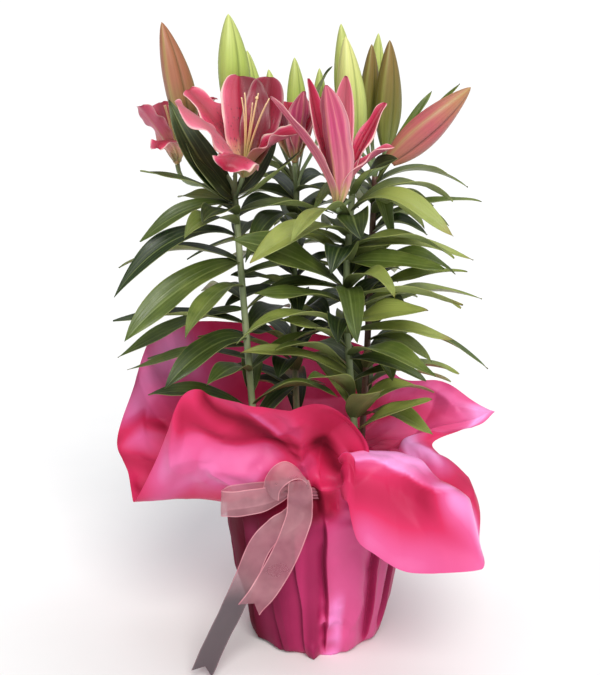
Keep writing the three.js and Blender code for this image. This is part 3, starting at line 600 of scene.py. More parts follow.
def collar_line(neck, rib):
    """A rib's line from the neck to its free end, in the numbers of RIBS."""
    _, x, y, z, reach, rise = rib
    turn = neck + np.array([(x - neck[0]) * reach, (y - neck[1]) * reach, rise])
    return [neck, turn, np.array([x, y, z])]


def film_column(where):
    """A column of the plain film, from the edge of the foot to the free edge."""
    rib = rib_at(where)
    pleat = pleat_at(rib[0])
    body = [from_front(rib[0], r + pleat * PLEAT_SHARE[i], h) for i, (r, h) in enumerate(FILM_BODY)]
    collar = bezier(collar_line(np.array(body[-1]), rib), np.arange(1, COLLAR_ROWS + 1) / COLLAR_ROWS)
    return np.concatenate([body, collar])


def film_samples():
    samples = []
    for k in range(len(RIBS) * 4):
        opened = film_column(k / 4)[len(FILM_BODY) - 1:]
        samples.append(opened)
        samples.append((opened[1:] + opened[:-1]) / 2)
    return np.concatenate(samples)


# Stems, stalks and buds
def stem_point(name, z):
    low, high = 0.0, 1.0
    for _ in range(30):
        middle = (low + high) / 2
        if line_at(STEMS[name], middle)[2] < z:
            low = middle
        else:
            high = middle
    return line_at(STEMS[name], low)


def stalk_line(stem, start_z, base, way):
    start = stem_point(stem, start_z)
    end = np.asarray(base, float) - way * GAP
    pull = np.linalg.norm(end - start) * 0.4
    return [start, start + UP * pull, end - way * pull, end]


def bud_shape(t):
    return np.sin(np.pi * (0.07 + 0.93 * t) ** 0.85) ** 0.72


def bud_frame(base, tip):
    way = np.asarray(tip, float) - np.asarray(base, float)
    length = np.linalg.norm(way)
    way = way / length
    side = unit(np.cross(BACK, way))
    return way, length, side, np.cross(way, side)


def bud_samples(bud):
    _, _, base, tip, radius, _ = bud
    way, length, side, other = bud_frame(base, tip)
    angles = round_angles(8)
    rings = []
    for t in (0, 0.2, 0.4, 0.6, 0.8, 0.97):
        reach = radius * bud_shape(t) * (1 + 0.07 * np.cos(3 * angles))
        ring = np.outer(reach * np.cos(angles), side) + np.outer(reach * np.sin(angles), other)
        rings.append(np.asarray(base) + way * length * t + ring)
    return np.concatenate(rings)


# Blooms
def around_axis(axis):
    side = unit(np.cross(BACK, axis))
    return side, np.cross(axis, side)


def tepal_blades(bloom):
    base = np.asarray(bloom["base"], float)
    axis = unit(bloom["axis"])
    side, other = around_axis(axis)
    angles = []
    for tip, *_ in bloom["tepals"]:
        away = np.asarray(tip) - base
        angles.append(math.atan2(away.dot(other), away.dot(side)))
    order = sorted(angles)
    step = 2 * math.pi / len(order)
    first = sum(angle - k * step for k, angle in enumerate(order)) / len(order)
    blades = []
    for i, (tip, width, bow, cup, ruffle) in enumerate(bloom["tepals"]):
        end = np.asarray(tip, float)
        rank = order.index(angles[i])
        even = first + rank * step
        whorl = OUTER_WHORL if rank % 2 else INNER_WHORL
        spoke = side * math.cos(even) + other * math.sin(even)
        start = base + axis * 2 + spoke * whorl[0]
        throat = base + axis * bloom["tube"] + spoke * whorl[1]
        out = side * math.cos(angles[i]) + other * math.sin(angles[i])
        bend = throat + (end - throat) * 0.55 + axis * bow + out * bow
        blades.append(dict(
            line=[start, throat, bend, end], side=unit(np.cross(out, axis)), width=width, cup=cup,
            ruffle=ruffle, shape=tepal_shape, roll=0.0, waves=2.5, phase=i * 1.7,
        ))
    return blades


def stamen_lines(bloom):
    axis = unit(bloom["axis"])
    side, other = around_axis(axis)
    top = np.asarray(bloom["base"], float) + axis * (STAMEN_FOOT + OVARY[1] - 1)
    lines = []
    for i in range(FILAMENTS + 1):
        angle = 2 * math.pi * i / FILAMENTS + 0.4
        style = i == FILAMENTS
        out = side * math.cos(angle) + other * math.sin(angle)
        start = top + out * (0 if style else FILAMENT_CIRCLE)
        reach = bloom["stamens"] * (0.02 if style else bloom["spread"])
        bend = start + axis * bloom["stamens"] * 0.6 + out * reach * 0.3
        lines.append([start, bend, start + axis * bloom["stamens"] + out * reach])
    return lines


# Leaves
def leaf_blade(root, tip, width, arch, roll):
    chord = tip - root
    return dict(
        line=[root, root + chord * 0.33 + UP * arch * 1.2, root + chord * 0.72 + UP * arch * 0.8, tip],
        side=unit(np.cross(chord, UP)), width=width, shape=leaf_shape, cup=LEAF_CUP,
        roll=math.radians(roll), ruffle=0.9, waves=1.5, phase=width,
    )


def posed_leaves():
    blades = []
    for stem, z, tip, width, arch, roll in POSED_LEAVES:
        root = stem_point(stem, z)
        for lean in LEANS:
            blade = leaf_blade(root, np.array(tip, float) + BACK * lean, width, arch, roll)
            if settle(stem, blade):
                blades.append((stem, blade))
                break
    return blades


def spiral_leaves(spirals, seed, size=1.0):
    """Leaves that wind up each stem, each turned, shortened or raised until it lies free."""
    draws = Draws(seed)
    least, more, spread = LEAF_GROWTH
    blades = []
    for stem, (low, high, first, count) in spirals.items():
        for i in range(count):
            share = i / (count - 1)
            root = stem_point(stem, low + (high - low) * share)
            usual = size * LEAF_LENGTH * (least + more * share * (1 - share) + spread * draws.next())
            width = LEAF_WIDTH[0] + LEAF_WIDTH[1] * draws.next()
            for k in range(SPIRAL_TRIES):
                angle = math.radians(first + GOLDEN_ANGLE * i + (draws.next() - 0.5) * TRY_TURN * k)
                length = usual * (1 - TRY_SHORTER * k)
                lift = TRY_STEEPER * (1 - share) * (k / SPIRAL_TRIES + 0.5)
                drop = length * (LEAF_DROP[0] - LEAF_DROP[1] * draws.next()) + lift
                tip = root + [length * math.cos(angle), length * math.sin(angle), drop]
                arch = LEAF_ARCH[0] + LEAF_ARCH[1] * draws.next()
                blade = leaf_blade(root, tip, width, arch, LEAF_ROLL * (draws.next() - 0.5))
                if settle(stem, blade):
                    blades.append((stem, blade))
                    break
    return blades


# Where every leaf, bloom and bud lies, in the same order as in the part's source
keep("wrap_film", film_samples())
for name, points in STEMS.items():
    keep(name, [line_at(points, i / STEM_SAMPLES) for i in range(STEM_SAMPLES + 1)])

stalks = {name: [] for name in STEMS}


def grow_stalk(stem, start, base, way):
    line = stalk_line(stem, start, base, way)
    stalks[stem].append(line)
    keep(stem, bezier(line, np.arange(1, STALK_SAMPLES + 1) / STALK_SAMPLES))


for name, bloom in BLOOMS.items():
    grow_stalk(bloom["stem"], bloom["start"], bloom["base"], unit(bloom["axis"]))
    for blade in tepal_blades(bloom):
        keep("bloom_" + name, blade_samples(blade))
for name, bud in BUDS.items():
    grow_stalk(bud[0], bud[1], bud[2], bud_frame(bud[2], bud[3])[0])
    keep("bud_" + name, bud_samples(bud))
leaves = posed_leaves() + spiral_leaves(LEAF_SPIRALS, SEED)
outer_leaves = len(leaves)
leaves += spiral_leaves(INNER_SPIRALS, SEED + 5, INNER_SHORTER)
for stem, z, tip, *shape in BROAD_LEAVES:
    leaves.append((stem, leaf_blade(stem_point(stem, z), np.array(tip, float), *shape)))


# Materials. A colour is three numbers from 0 to 255 as it is seen, or one number from 0 to 1 for a grey.
def linear_light(colour, light=1.0):
    """A colour as linear light, made darker by light."""
    if not isinstance(colour, tuple):
        return (colour, colour, colour, 1)
    seen = [v / 255 for v in colour]
    return (*(light * (v / 12.92 if v <= 0.04045 else ((v + 0.055) / 1.055) ** 2.4) for v in seen), 1)


def evenly(colours):
    """Stops of a ramp for colours at even distances."""
    return [(k / (len(colours) - 1), colour) for k, colour in enumerate(colours)]


class Shade:
    """Builds one procedural material: each call adds a node and returns its output."""

    def __init__(self, name, **sockets):
        self.material = bpy.data.materials.new(name)
        self.material.use_nodes = True
        self.nodes = self.material.node_tree.nodes
        self.links = self.material.node_tree.links
        self.shader = self.nodes["Principled BSDF"]
        for key, value in sockets.items():
            self.shader.inputs[key.replace("_", " ")].default_value = value

    def feed(self, socket, value):
        if isinstance(value, bpy.types.NodeSocket):
            self.links.new(value, socket)
        elif value is not None:
            socket.default_value = value

    def mark(self, name):
        node = self.nodes.new("ShaderNodeAttribute")
        node.attribute_name = name
        return node.outputs["Fac"]

    def place(self):
        return self.nodes.new("ShaderNodeTexCoord").outputs["Object"]

    def join(self, x, y, z=0.0):
        node = self.nodes.new("ShaderNodeCombineXYZ")
        for socket, value in zip(node.inputs, (x, y, z)):
            self.feed(socket, value)
        return node.outputs[0]

    def noise(self, scale, detail, vector=None, rough=0.5):
        node = self.nodes.new("ShaderNodeTexNoise")
        node.inputs["Scale"].default_value = scale
        node.inputs["Detail"].default_value = detail
        node.inputs["Roughness"].default_value = rough
        self.links.new(vector or self.place(), node.inputs["Vector"])
        return node.outputs["Fac"]

    def cells(self, scale, vector):
        node = self.nodes.new("ShaderNodeTexVoronoi")
        node.inputs["Scale"].default_value = scale
        self.links.new(vector, node.inputs["Vector"])
        return node.outputs["Distance"]

    def math(self, operation, a, b=None):
        node = self.nodes.new("ShaderNodeMath")
        node.operation = operation
        for socket, value in zip(node.inputs, (a, b)):
            self.feed(socket, value)
        return node.outputs[0]

    def times(self, a, b):
        return self.math("MULTIPLY", a, b)

    def plus(self, a, b):
        return self.math("ADD", a, b)

    def ramp(self, value, stops, smooth=False):
        """A colour or number that changes with value; stops are pairs of place and colour."""
        node = self.nodes.new("ShaderNodeValToRGB")
        ramp = node.color_ramp
        ramp.interpolation = "EASE" if smooth else "LINEAR"
        while len(ramp.elements) < len(stops):
            ramp.elements.new(0.5)
        for element, (where, colour) in zip(ramp.elements, stops):
            element.position = where
            element.color = linear_light(colour)
        self.feed(node.inputs["Fac"], value)
        return node.outputs["Color"]

    def mix(self, share, a, b, light=1.0):
        """From a to b by share. Where b is a plain colour, light makes it darker."""
        node = self.nodes.new("ShaderNodeMix")
        node.data_type = "RGBA"
        sockets = {s.identifier: s for s in node.inputs}
        self.feed(sockets["Factor_Float"], share)
        self.feed(sockets["A_Color"], a)
        self.feed(sockets["B_Color"], b if isinstance(b, bpy.types.NodeSocket) else linear_light(b, light))
        return next(s for s in node.outputs if s.identifier == "Result_Color")

    def colour(self, value):
        self.feed(self.shader.inputs["Base Color"], value)

    def rough(self, value):
        self.feed(self.shader.inputs["Roughness"], value)

    def bump(self, height, distance, strength):
        """Small relief, distance in millimetres. Later calls lie over the earlier ones."""
        node = self.nodes.new("ShaderNodeBump")
        node.inputs["Strength"].default_value = strength
        node.inputs["Distance"].default_value = distance * MM
        self.links.new(height, node.inputs["Height"])
        socket = self.shader.inputs["Normal"]
        if socket.is_linked:
            self.links.new(socket.links[0].from_socket, node.inputs["Normal"])
        self.links.new(node.outputs["Normal"], socket)


# Film from crimson, painted shade, to lilac, painted highlight, where it hangs free and where it lies on
# the pot. Over the pot it is darker, partly for the dark pot behind the thin film and partly as painted
# shade.
FILM_LOOSE = [(110, 2, 28), (162, 20, 56), (204, 42, 88), (216, 86, 140), (246, 156, 216)]
FILM_BACKED = [(90, 2, 26), (126, 22, 62), (178, 44, 96), (212, 86, 140), (232, 130, 192)]


def film_material():
    """Pink pearl film: crimson painted shade where it is drawn in, lilac painted highlight where it lies
    open, darker over the pot partly as painted shade.
    """
    m = Shade("film pink", Roughness=0.42, IOR=1.6, Specular_IOR_Level=0.22,
              Specular_Tint=(1.0, 0.62, 0.9, 1))
    clouds = m.times(m.plus(m.noise(14, 3), -0.5), 0.16)
    # The tone mark holds random clouds, painted shade below its middle and painted highlights above.
    tone = m.plus(m.plus(m.times(m.mark("tone"), 0.5), 0.5), clouds)
    loose, backed = (m.ramp(tone, evenly(colours)) for colours in (FILM_LOOSE, FILM_BACKED))
    m.colour(m.mix(m.mark("backed"), loose, backed))
    m.rough(m.ramp(tone, [(0.1, 0.75), (0.45, 0.46), (1.0, 0.36)]))
    m.bump(m.noise(900, 2), 0.03, 0.4)
    return m.material


def ribbon_material(name, alpha, low=(160, 104, 116), high=(190, 136, 144)):
    """Sheer organza with a fine weave and satin edges, with painted shade where marked: darker and less
    sheer.
    """
    m = Shade(name, Roughness=0.42, IOR=1.45, Sheen_Weight=0.3, Sheen_Roughness=0.4)
    side, along, painted_shade = (m.mark(key) for key in ("across", "along", "painted_shade"))
    edge = m.ramp(m.math("ABSOLUTE", side), [(0.9, 0.0), (0.93, 1.0)])
    tint = m.noise(45, 3)
    # Painted shade toward the back tail's end: darker colours and less sheer
    middle = m.mix(painted_shade, m.ramp(tint, [(0.3, low), (0.7, high)]), (78, 65, 70))
    border = m.mix(painted_shade, m.ramp(tint, [(0.3, (190, 116, 130)), (0.7, (222, 160, 168))]), (110, 88, 94))
    m.colour(m.mix(edge, middle, border))
    warp, weft = (m.math("SINE", m.times(*thread)) for thread in ((side, 120.0), (along, 900.0)))
    m.bump(m.times(warp, weft), 0.05, 0.4)
    thin = m.ramp(m.noise(38, 2), [(0.35, alpha), (0.65, alpha + 0.16)])
    m.feed(m.shader.inputs["Alpha"], m.mix(painted_shade, m.mix(edge, thin, 0.85), 0.94))
    return m.material


def leaf_material():
    """Glossy dark green above and yellow-green below, with parallel veins, painted shade at the foot, and
    a tone that is partly painted light and shade.
    """
    m = Shade("lily leaf", Roughness=0.38, IOR=1.45, Subsurface_Weight=0.06, Subsurface_Scale=0.002,
              Subsurface_Radius=(0.6, 1.0, 0.25), Coat_Weight=0.08, Coat_Roughness=0.35)
    side, along, tone = (m.mark(key) for key in ("across", "along", "tone"))
    across = m.math("ABSOLUTE", side)
    clouds = m.noise(35, 4)
    top = m.ramp(m.plus(m.times(clouds, 0.5), m.times(tone, 0.5)),
                 [(0.15, (34, 50, 20)), (0.42, (82, 98, 36)), (0.75, (148, 158, 78))])
    under = m.ramp(clouds, [(0.3, (124, 138, 82)), (0.7, (156, 166, 104))])
    blade = m.mix(m.mark("face"), under, top)
    # Painted shade at the foot of the leaf, between the stems
    blade = m.mix(m.ramp(along, [(0.0, 0.6), (0.4, 0.0)], True), blade, (34, 42, 22))
    rib = m.ramp(across, [(0.0, 1.0), (0.05, 0.6), (0.1, 0.0)])
    blade = m.mix(m.times(rib, 0.35), blade, (142, 156, 92))
    blade = m.mix(m.ramp(across, [(0.94, 0.0), (1.0, 0.5)]), blade, (158, 162, 92))
    lines = m.math("SINE", m.plus(m.times(side, 19.0), m.times(m.noise(18, 2), 2.5)))
    vein_line = m.ramp(lines, [(0.55, 0.0), (0.95, 1.0)])
    blade = m.mix(m.times(vein_line, 0.08), blade, (164, 172, 104))
    age = m.times(along, m.plus(0.7, m.times(tone, 0.3)))
    blade = m.mix(m.ramp(age, [(0.88, 0.0), (1.0, 0.7)]), blade, (150, 130, 62))
    streaks = m.noise(30, 4)
    green = m.ramp(streaks, [(0.35, (122, 142, 96)), (0.7, (160, 172, 128))])
    purple = m.ramp(streaks, [(0.35, (98, 66, 58)), (0.7, (132, 104, 82))])
    m.colour(m.mix(m.mark("stem"), blade, m.mix(m.mark("purple"), green, purple)))
    m.rough(m.ramp(m.noise(80, 3), [(0.3, 0.34), (0.7, 0.5)]))
    m.bump(m.noise(1.0, 2, m.join(m.times(side, 9.0), m.times(along, 1.4), tone)), 0.5, 0.7)
    m.bump(vein_line, 0.12, 0.6)
    m.bump(m.noise(260, 3), 0.12, 0.4)
    return m.material


# A petal's inside from the rib to the margin, and its outside from the foot to the tip
PETAL_INSIDE = [
    (0.0, (146, 12, 44)),
    (0.5, (178, 26, 64)),
    (0.78, (202, 58, 96)),
    (0.9, (226, 118, 142)),
    (0.97, (244, 204, 192)),
]
PETAL_OUTSIDE = {
    "open": [
        (0.0, (168, 178, 106)),
        (0.18, (222, 170, 134)),
        (0.5, (228, 118, 144)),
        (1.0, (222, 96, 130)),
    ],
    "half open": [
        (0.0, (164, 172, 92)),
        (0.1, (196, 172, 112)),
        (0.2, (204, 112, 128)),
        (0.6, (196, 70, 116)),
        (1.0, (196, 92, 116)),
    ],
}
# Colours of painted shade and painted light on the tepals
PETAL_PAINTED_SHADE = (98, 8, 24)
PETAL_PAINTED_LIGHT = (226, 146, 160)


def petal_material(state):
    """Crimson inside with dark spots and a pale margin, and a paler outside with a green rib. Some tepals
    and halves take painted shade, others painted light.
    """
    m = Shade("petal " + state, Roughness=0.42, IOR=1.42, Subsurface_Weight=0.12, Subsurface_Scale=0.003,
              Subsurface_Radius=(1.0, 0.35, 0.25), Sheen_Weight=0.15, Sheen_Roughness=0.4)
    side, along, tone, painted_shading = (m.mark(key) for key in ("across", "along", "tone", "painted_shading"))
    across = m.math("ABSOLUTE", side)
    streaks = m.noise(2.2, 4, m.join(m.times(side, 3.5), m.times(along, 1.1), tone))
    wander = m.times(m.plus(streaks, -0.5), 0.3)
    margin, length = m.plus(across, wander), m.plus(along, wander)
    throat = m.ramp(length, [(0.12, 1.0), (0.34, 0.0)])
    inner = m.mix(throat, m.ramp(margin, PETAL_INSIDE), (206, 190, 130))
    spots = m.cells(1.0, m.join(m.times(side, 8.0), m.times(along, 24.0), tone))
    spots = m.ramp(spots, [(0.2, 1.0), (0.34, 0.0)])
    spotted = m.times(m.ramp(along, [(0.12, 0.0), (0.25, 1.0), (0.6, 0.7), (0.74, 0.0)]),
                      m.ramp(across, [(0.6, 1.0), (0.9, 0.0)]))
    inner = m.mix(m.times(spots, spotted), inner, (58, 4, 16))
    outer = m.ramp(length, PETAL_OUTSIDE[state])
    outer = m.mix(m.ramp(margin, [(0.75, 0.0), (1.0, 0.6)]), outer, (232, 176, 182))
    rib = m.ramp(m.plus(across, m.times(along, 0.1)), [(0.04, 0.75), (0.13, 0.0)])
    outer = m.mix(rib, outer, (196, 160, 104))
    if state == "half open":
        wave = m.math("SINE", m.plus(m.times(across, 17.0), m.times(streaks, 6.0)))
        outer = m.mix(m.ramp(wave, [(0.2, 0.0), (1.0, 0.3)]), outer, (150, 30, 66))
        outer = m.mix(m.ramp(m.times(wave, -1.0), [(0.6, 0.0), (1.0, 0.4)]), outer, (232, 150, 148))
    petal = m.mix(m.mark("face"), outer, inner)
    # Painted shade on the tepals marked above 0, painted light on those below
    for way, colour in ((1.0, PETAL_PAINTED_SHADE), (-1.0, PETAL_PAINTED_LIGHT)):
        share = m.math("MAXIMUM", m.times(painted_shading, way), 0.0)
        petal = m.mix(m.times(share, 0.75), petal, colour)
    m.colour(petal)
    m.bump(streaks, 0.5, 0.6)
    m.bump(spots, 0.3, 0.3)
    m.bump(m.noise(300, 3), 0.1, 0.4)
    return m.material


# Each kind of bud at its foot, middle and tip
BUD_COLOURS = {
    "green": [(146, 170, 78), (180, 200, 98), (200, 208, 124)],
    "yellow_green": [(160, 184, 92), (200, 212, 122), (222, 220, 142)],
    "rose": [(132, 132, 70), (166, 106, 80), (166, 108, 74)],
    "salmon": [(168, 108, 84), (182, 86, 94), (178, 134, 86)],
    "brown_green": [(118, 130, 54), (124, 114, 54), (138, 108, 58)],
}


def bud_material(kind):
    """Streaked along the bud, with dark seams and fine stripes."""
    foot, middle, _ = BUD_COLOURS[kind]
    m = Shade("bud " + kind, Roughness=0.42, IOR=1.45, Subsurface_Weight=0.1, Subsurface_Scale=0.003,
              Subsurface_Radius=(0.8, 0.8, 0.3), Coat_Weight=0.1, Coat_Roughness=0.3)
    along, around, seam = (m.mark(key) for key in ("along", "around", "seam"))
    streaks = m.noise(1.6, 4, m.join(m.times(around, 9.0), m.times(along, 1.3)))
    shift = m.plus(along, m.times(m.plus(streaks, -0.5), 0.5))
    skin = m.ramp(shift, evenly(BUD_COLOURS[kind]))
    skin = m.mix(m.ramp(seam, [(0.0, 0.6), (0.14, 0.0)]), skin, foot, 0.4)
    skin = m.mix(m.ramp(seam, [(0.78, 0.0), (1.0, 0.4)]), skin, (176, 182, 104))
    stripes = m.math("SINE", m.plus(m.times(seam, 26.0), m.times(streaks, 4.0)))
    skin = m.mix(m.ramp(stripes, [(0.4, 0.0), (1.0, 0.22)]), skin, middle, 0.6)
    m.colour(skin)
    m.bump(streaks, 0.4, 0.5)
    m.bump(m.noise(320, 3), 0.1, 0.4)
    return m.material


STAMEN_COLOURS = [(0.0, (186, 186, 116)), (0.4, (234, 202, 146)), (1.0, (242, 206, 162))]


def stamen_material():
    m = Shade("filament cream", Roughness=0.4, IOR=1.42, Subsurface_Weight=0.1, Subsurface_Scale=0.002,
              Subsurface_Radius=(1.0, 0.8, 0.4))
    m.colour(m.ramp(m.mark("along"), STAMEN_COLOURS))
    m.bump(m.noise(700, 2), 0.05, 0.4)
    return m.material


def soil_material():
    m = Shade("moist peat", Roughness=0.95, IOR=1.4)
    grain = m.noise(240, 5, rough=0.7)
    m.colour(m.ramp(grain, [(0.3, (34, 24, 17)), (0.55, (66, 48, 34)), (0.75, (108, 82, 58))]))
    m.bump(grain, 1.2, 0.9)
    return m.material


def pot_material():
    m = Shade("pot plastic", Roughness=0.5, IOR=1.5)
    m.colour(m.ramp(m.noise(40, 4), [(0.3, (34, 31, 29)), (0.7, (52, 48, 45))]))
    m.rough(m.ramp(m.noise(120, 3), [(0.3, 0.42), (0.7, 0.6)]))
    m.bump(m.noise(500, 3), 0.08, 0.5)
    return m.material


def floor_material():
    m = Shade("pale floor", Roughness=1.0, Specular_IOR_Level=0.0)
    m.colour(m.ramp(m.noise(6, 3), [(0.3, (236, 235, 233)), (0.7, (239, 238, 236))]))
    return m.material


# Leafy stems
LEAF_GRID = dict(rows=34, columns=15, thick=0.9, edge=0.25)
LEAF_WIDER = 1.06
LEAF_EASE = 0.45
FOLD_ROUND = 0.18
STEM_STEPS = 60
STALK_STEPS = 16
ROD_SIDES = 14
STEM_TAPER = 0.2
STALK_WAIST = 0.25

# Each leaf's own shape: how far its middle sways sideways and up, and its tip up, and its relief in
# millimetres: waves of the edges, a slow twist, fast waves, veins, and the midrib's groove with its share
LEAF_SWAY = (14, 12, 9)
LEAF_WAVES = (1.7, 1.6, 0.3)
LEAF_VEINS = 0.12
LEAF_GROOVE = (0.35, 0.08)


def fine_leaf_shape(t):
    return 2.9 * (t + 0.012) ** 0.74 * np.maximum(1 - t, 0) ** 0.98


def fine_tepal_shape(t):
    return 2.0 * (t + 0.03) ** 0.75 * np.maximum(1.01 - t, 0) ** 0.5


def pointed_tepal_shape(t):
    return 2.3 * (t + 0.03) ** 0.8 * np.maximum(1.01 - t, 0) ** 0.72


def blade_points(blade, t, s, thick, edge, relief):
    """Upper and under points of a blade on a grid of shares along it and across it."""
    here, side, normal = blade_frame(blade, t)
    half = (blade["width"] / 2 * blade["shape"](np.minimum(t, 0.9995)))[:, None]
    t, s = t[:, None], s[None, :]
    rise = half * (np.sqrt(s**2 + FOLD_ROUND**2) - FOLD_ROUND) * math.sin(blade["cup"])
    rise = rise + blade_wave(blade, t, s) + relief(t, s)
    out = half * s * math.cos(blade["cup"])
    middle = here[:, None] + side[:, None] * out[..., None] + normal[:, None] * rise[..., None]
    taper = np.sqrt(np.clip(half / half.max(), 0.05, 1))
    lift = (edge + (thick / 2 - edge) * np.maximum(1 - s * s, 0)) * taper
    up = normal[:, None] * lift[..., None]
    return middle + up, middle - up


def add_blade(builder, blade, marks, relief, rows, columns, thick, edge):
    """A closed blade: the upper grid, and the under grid joined to it round the edge."""
    t = np.linspace(0, 1, rows) ** 0.9
    s = np.sin(np.linspace(-1, 1, columns) * np.pi / 2) * 0.4 + np.linspace(-1, 1, columns) * 0.6
    upper, under = blade_points(blade, t, s, thick, edge, relief)
    points = np.concatenate([upper, under[:, ::-1]], axis=1)
    ring = 2 * columns
    last = (rows - 1) * ring
    foot = [(k, k + 1, ring - 2 - k, ring - 1 - k) for k in range(columns - 1)]
    tip = [(last + a, last + d, last + c, last + b) for a, b, c, d in foot]
    across = np.tile(np.concatenate([s, s[::-1]]), rows)
    face = np.tile(np.repeat([1.0, 0.0], columns), rows)
    # Painted shading of a tepal's two halves; leaves take none
    first, second = np.broadcast_to(marks.get("painted_shading", 0), 2)
    painted_shading = first + (second - first) * smoothstep(-0.35, 0.3, across)
    marks = dict(marks, along=np.repeat(t, ring), across=across, face=face, painted_shading=painted_shading)
    builder.add(points, grid_faces(rows, ring, True) + foot + tip, marks)


def leaf_relief(blade, seed):
    """Waves of the edges and a twist, a little different on each leaf, with veins and a midrib."""
    draws = Draws(seed)
    first, second, third = (draws.next() * 2 * np.pi for _ in range(3))
    size = min(1.0, blade["width"] / 26)
    edge, twist, fast = LEAF_WAVES
    groove, groove_half = LEAF_GROOVE

    def relief(t, s):
        inside = np.clip(1 - np.abs(t - 0.5) * 2, 0, 1) ** 0.5
        waves = np.sin(9 * t + 2 * s + first) * np.abs(s) ** 2.2 * edge
        slow = np.sin(5 * t + second) * s * twist
        veins = LEAF_VEINS * np.cos(np.pi * 5 * s)
        midrib = -groove * np.exp(-((s / groove_half) ** 2))
        flutter = fast * np.sin(14 * t + third) * s * s
        return (waves + slow + flutter) * inside * size + veins * inside + midrib

    return relief


# How light each stem's leaves are: the least, which paints shade on the stems that stand darker in the
# plant and light on the front right one, and how much they vary at random
LEAF_TONES_AND_PAINTED_LIGHT = {
    "front_left": (-0.4, 0.85),
    "front_right": (0.15, 1.05),
    "back_right": (-0.1, 0.9),
    "back_middle": (-0.2, 0.4),
}
# The inner leaves' least tone, painted shade in the middle of the plant, and how much they vary
INNER_TONES_AND_PAINTED_SHADE = (-0.35, 0.3)

# How purple each stem is
STEM_PURPLE = {"front_left": 0.15, "front_right": 0.15, "back_right": 1.0, "back_middle": 0.15}


def stalk_radius(t):
    return STALK_RADIUS * (1 - STALK_WAIST * math.sin(math.pi * t))


def leafy_stem(name, index):
    b = Builder("along", "across", "face", "tone", "stem", "purple")
    points = STEMS[name]
    tube(b, lambda t: line_at(points, t), lambda t: STEM_RADIUS * (1 - STEM_TAPER * t), STEM_STEPS,
         ROD_SIDES, dict(stem=1.0, purple=STEM_PURPLE[name]))
    for line in stalks[name]:
        tube(b, lambda t: bezier(line, t), stalk_radius, STALK_STEPS, ROD_SIDES, dict(stem=1.0))
    draws = Draws(SEED + index)
    sideways, upward, tip_up = LEAF_SWAY
    for k, (stem, blade) in enumerate(leaves):
        if stem != name:
            continue
        root, low, high, tip = blade["line"]
        high = high + blade["side"] * sideways * (draws.next() - 0.5) + UP * upward * (draws.next() - 0.5)
        tip = tip + UP * tip_up * (draws.next() - 0.5)
        fine = dict(blade, width=blade["width"] * LEAF_WIDER, shape=fine_leaf_shape, ease=LEAF_EASE,
                    line=[root, low, high, tip])
        dim, span = LEAF_TONES_AND_PAINTED_LIGHT[name] if k < outer_leaves else INNER_TONES_AND_PAINTED_SHADE
        # A leaf's tone is random, with painted shade for darker stems and inner leaves, painted light for
        # the front right
        marks = dict(tone=dim + span * draws.next())
        add_blade(b, fine, marks, leaf_relief(blade, SEED + 7 * k), **LEAF_GRID)
    b.piece("fine_leafy_stem_" + name, "leafy_stem_" + name, "leaf", LEAF)


# Blooms
TEPAL_GRID = dict(rows=40, columns=23, thick=1.1, edge=0.3)
OPEN_BLOOMS = ("left", "far_left")

# Each tepal's width against the plain solid's, and its painted shading from -1, painted light, to 1,
# painted shade. Two numbers are those of its two halves.
TEPAL_LOOKS = {
    "left": [(1.22, (-0.3, 1.2)), (0.98, 0.95), (1.15, -0.1), (1.4, -0.5), (1.08, 0.2), (1.05, 0.3)],
    "right": [(1.05, -0.25), (0.85, 0.2), (1.1, 0), (0.8, -0.5), (0.95, 0), (1, -0.2)],
    "middle": [(1.08, 0.3), (1.08, 0.1), (1.08, 0.5), (1, 0.4), (1, 0.2), (1.08, 0.2)],
    "far_left": [(1.08, 0.4), (1.08, 0.2), (1, 0.5), (1, 0.3), (1.08, 0.3), (1.08, 0)],
}

# Relief of the tepals where they are open and where they still close: waves, the midrib's groove and how
# much of it is left at the tip, and ribs
TEPAL_WAVES = {True: 1.3, False: 0.5}
TEPAL_GROOVE = 1.2
GROOVE_FADE = {True: 1, False: 0.4}
TEPAL_RIBS = {True: 0.12, False: 0.4}


def tepal_relief(seed, is_open):
    draws = Draws(seed)
    first, second = (draws.next() * 2 * np.pi for _ in range(2))
    strength = TEPAL_WAVES[is_open]

    def relief(t, s):
        ends = np.clip(1.3 - np.abs(t - 0.55) * 2.2, 0, 1)
        frill = np.sin(26 * t + 3 * np.sign(s) + first) * np.abs(s) ** 4 * strength
        wave = np.sin(13 * t + 2 * np.sign(s) + second) * np.abs(s) ** 2 * strength * 0.8
        groove = -TEPAL_GROOVE * np.exp(-((s / 0.12) ** 2)) * (1 - t * GROOVE_FADE[is_open])
        ribs = TEPAL_RIBS[is_open] * np.cos(np.pi * 7 * s)
        return (frill + wave) * ends + groove + ribs * ends

    return relief


def bloom_piece(name, bloom, index):
    b = Builder("along", "across", "face", "tone", "painted_shading")
    axis = unit(bloom["axis"])
    base = np.asarray(bloom["base"], float)
    wide, high = RECEPTACLE
    tube(b, lambda t: base + axis * high * t,
         lambda t: STALK_RADIUS + (wide - STALK_RADIUS) * math.sin(min(1, 2 * t) * math.pi / 2), 8, 20, {})
    is_open = name in OPEN_BLOOMS
    shape = fine_tepal_shape if is_open else pointed_tepal_shape
    for k, (blade, (wider, painted_shading)) in enumerate(zip(tepal_blades(bloom), TEPAL_LOOKS[name])):
        fine = dict(blade, width=blade["width"] * wider, shape=shape)
        marks = dict(tone=k * 1.7 + index, painted_shading=painted_shading)
        add_blade(b, fine, marks, tepal_relief(SEED + 31 * index + k, is_open), **TEPAL_GRID)
    b.piece("fine_bloom_" + name, "bloom_" + name, "petal", PETAL["open" if is_open else "half open"])


FILAMENT_FOOT = 0.9
FILAMENT_TIP = 0.55
STIGMA = 1.5


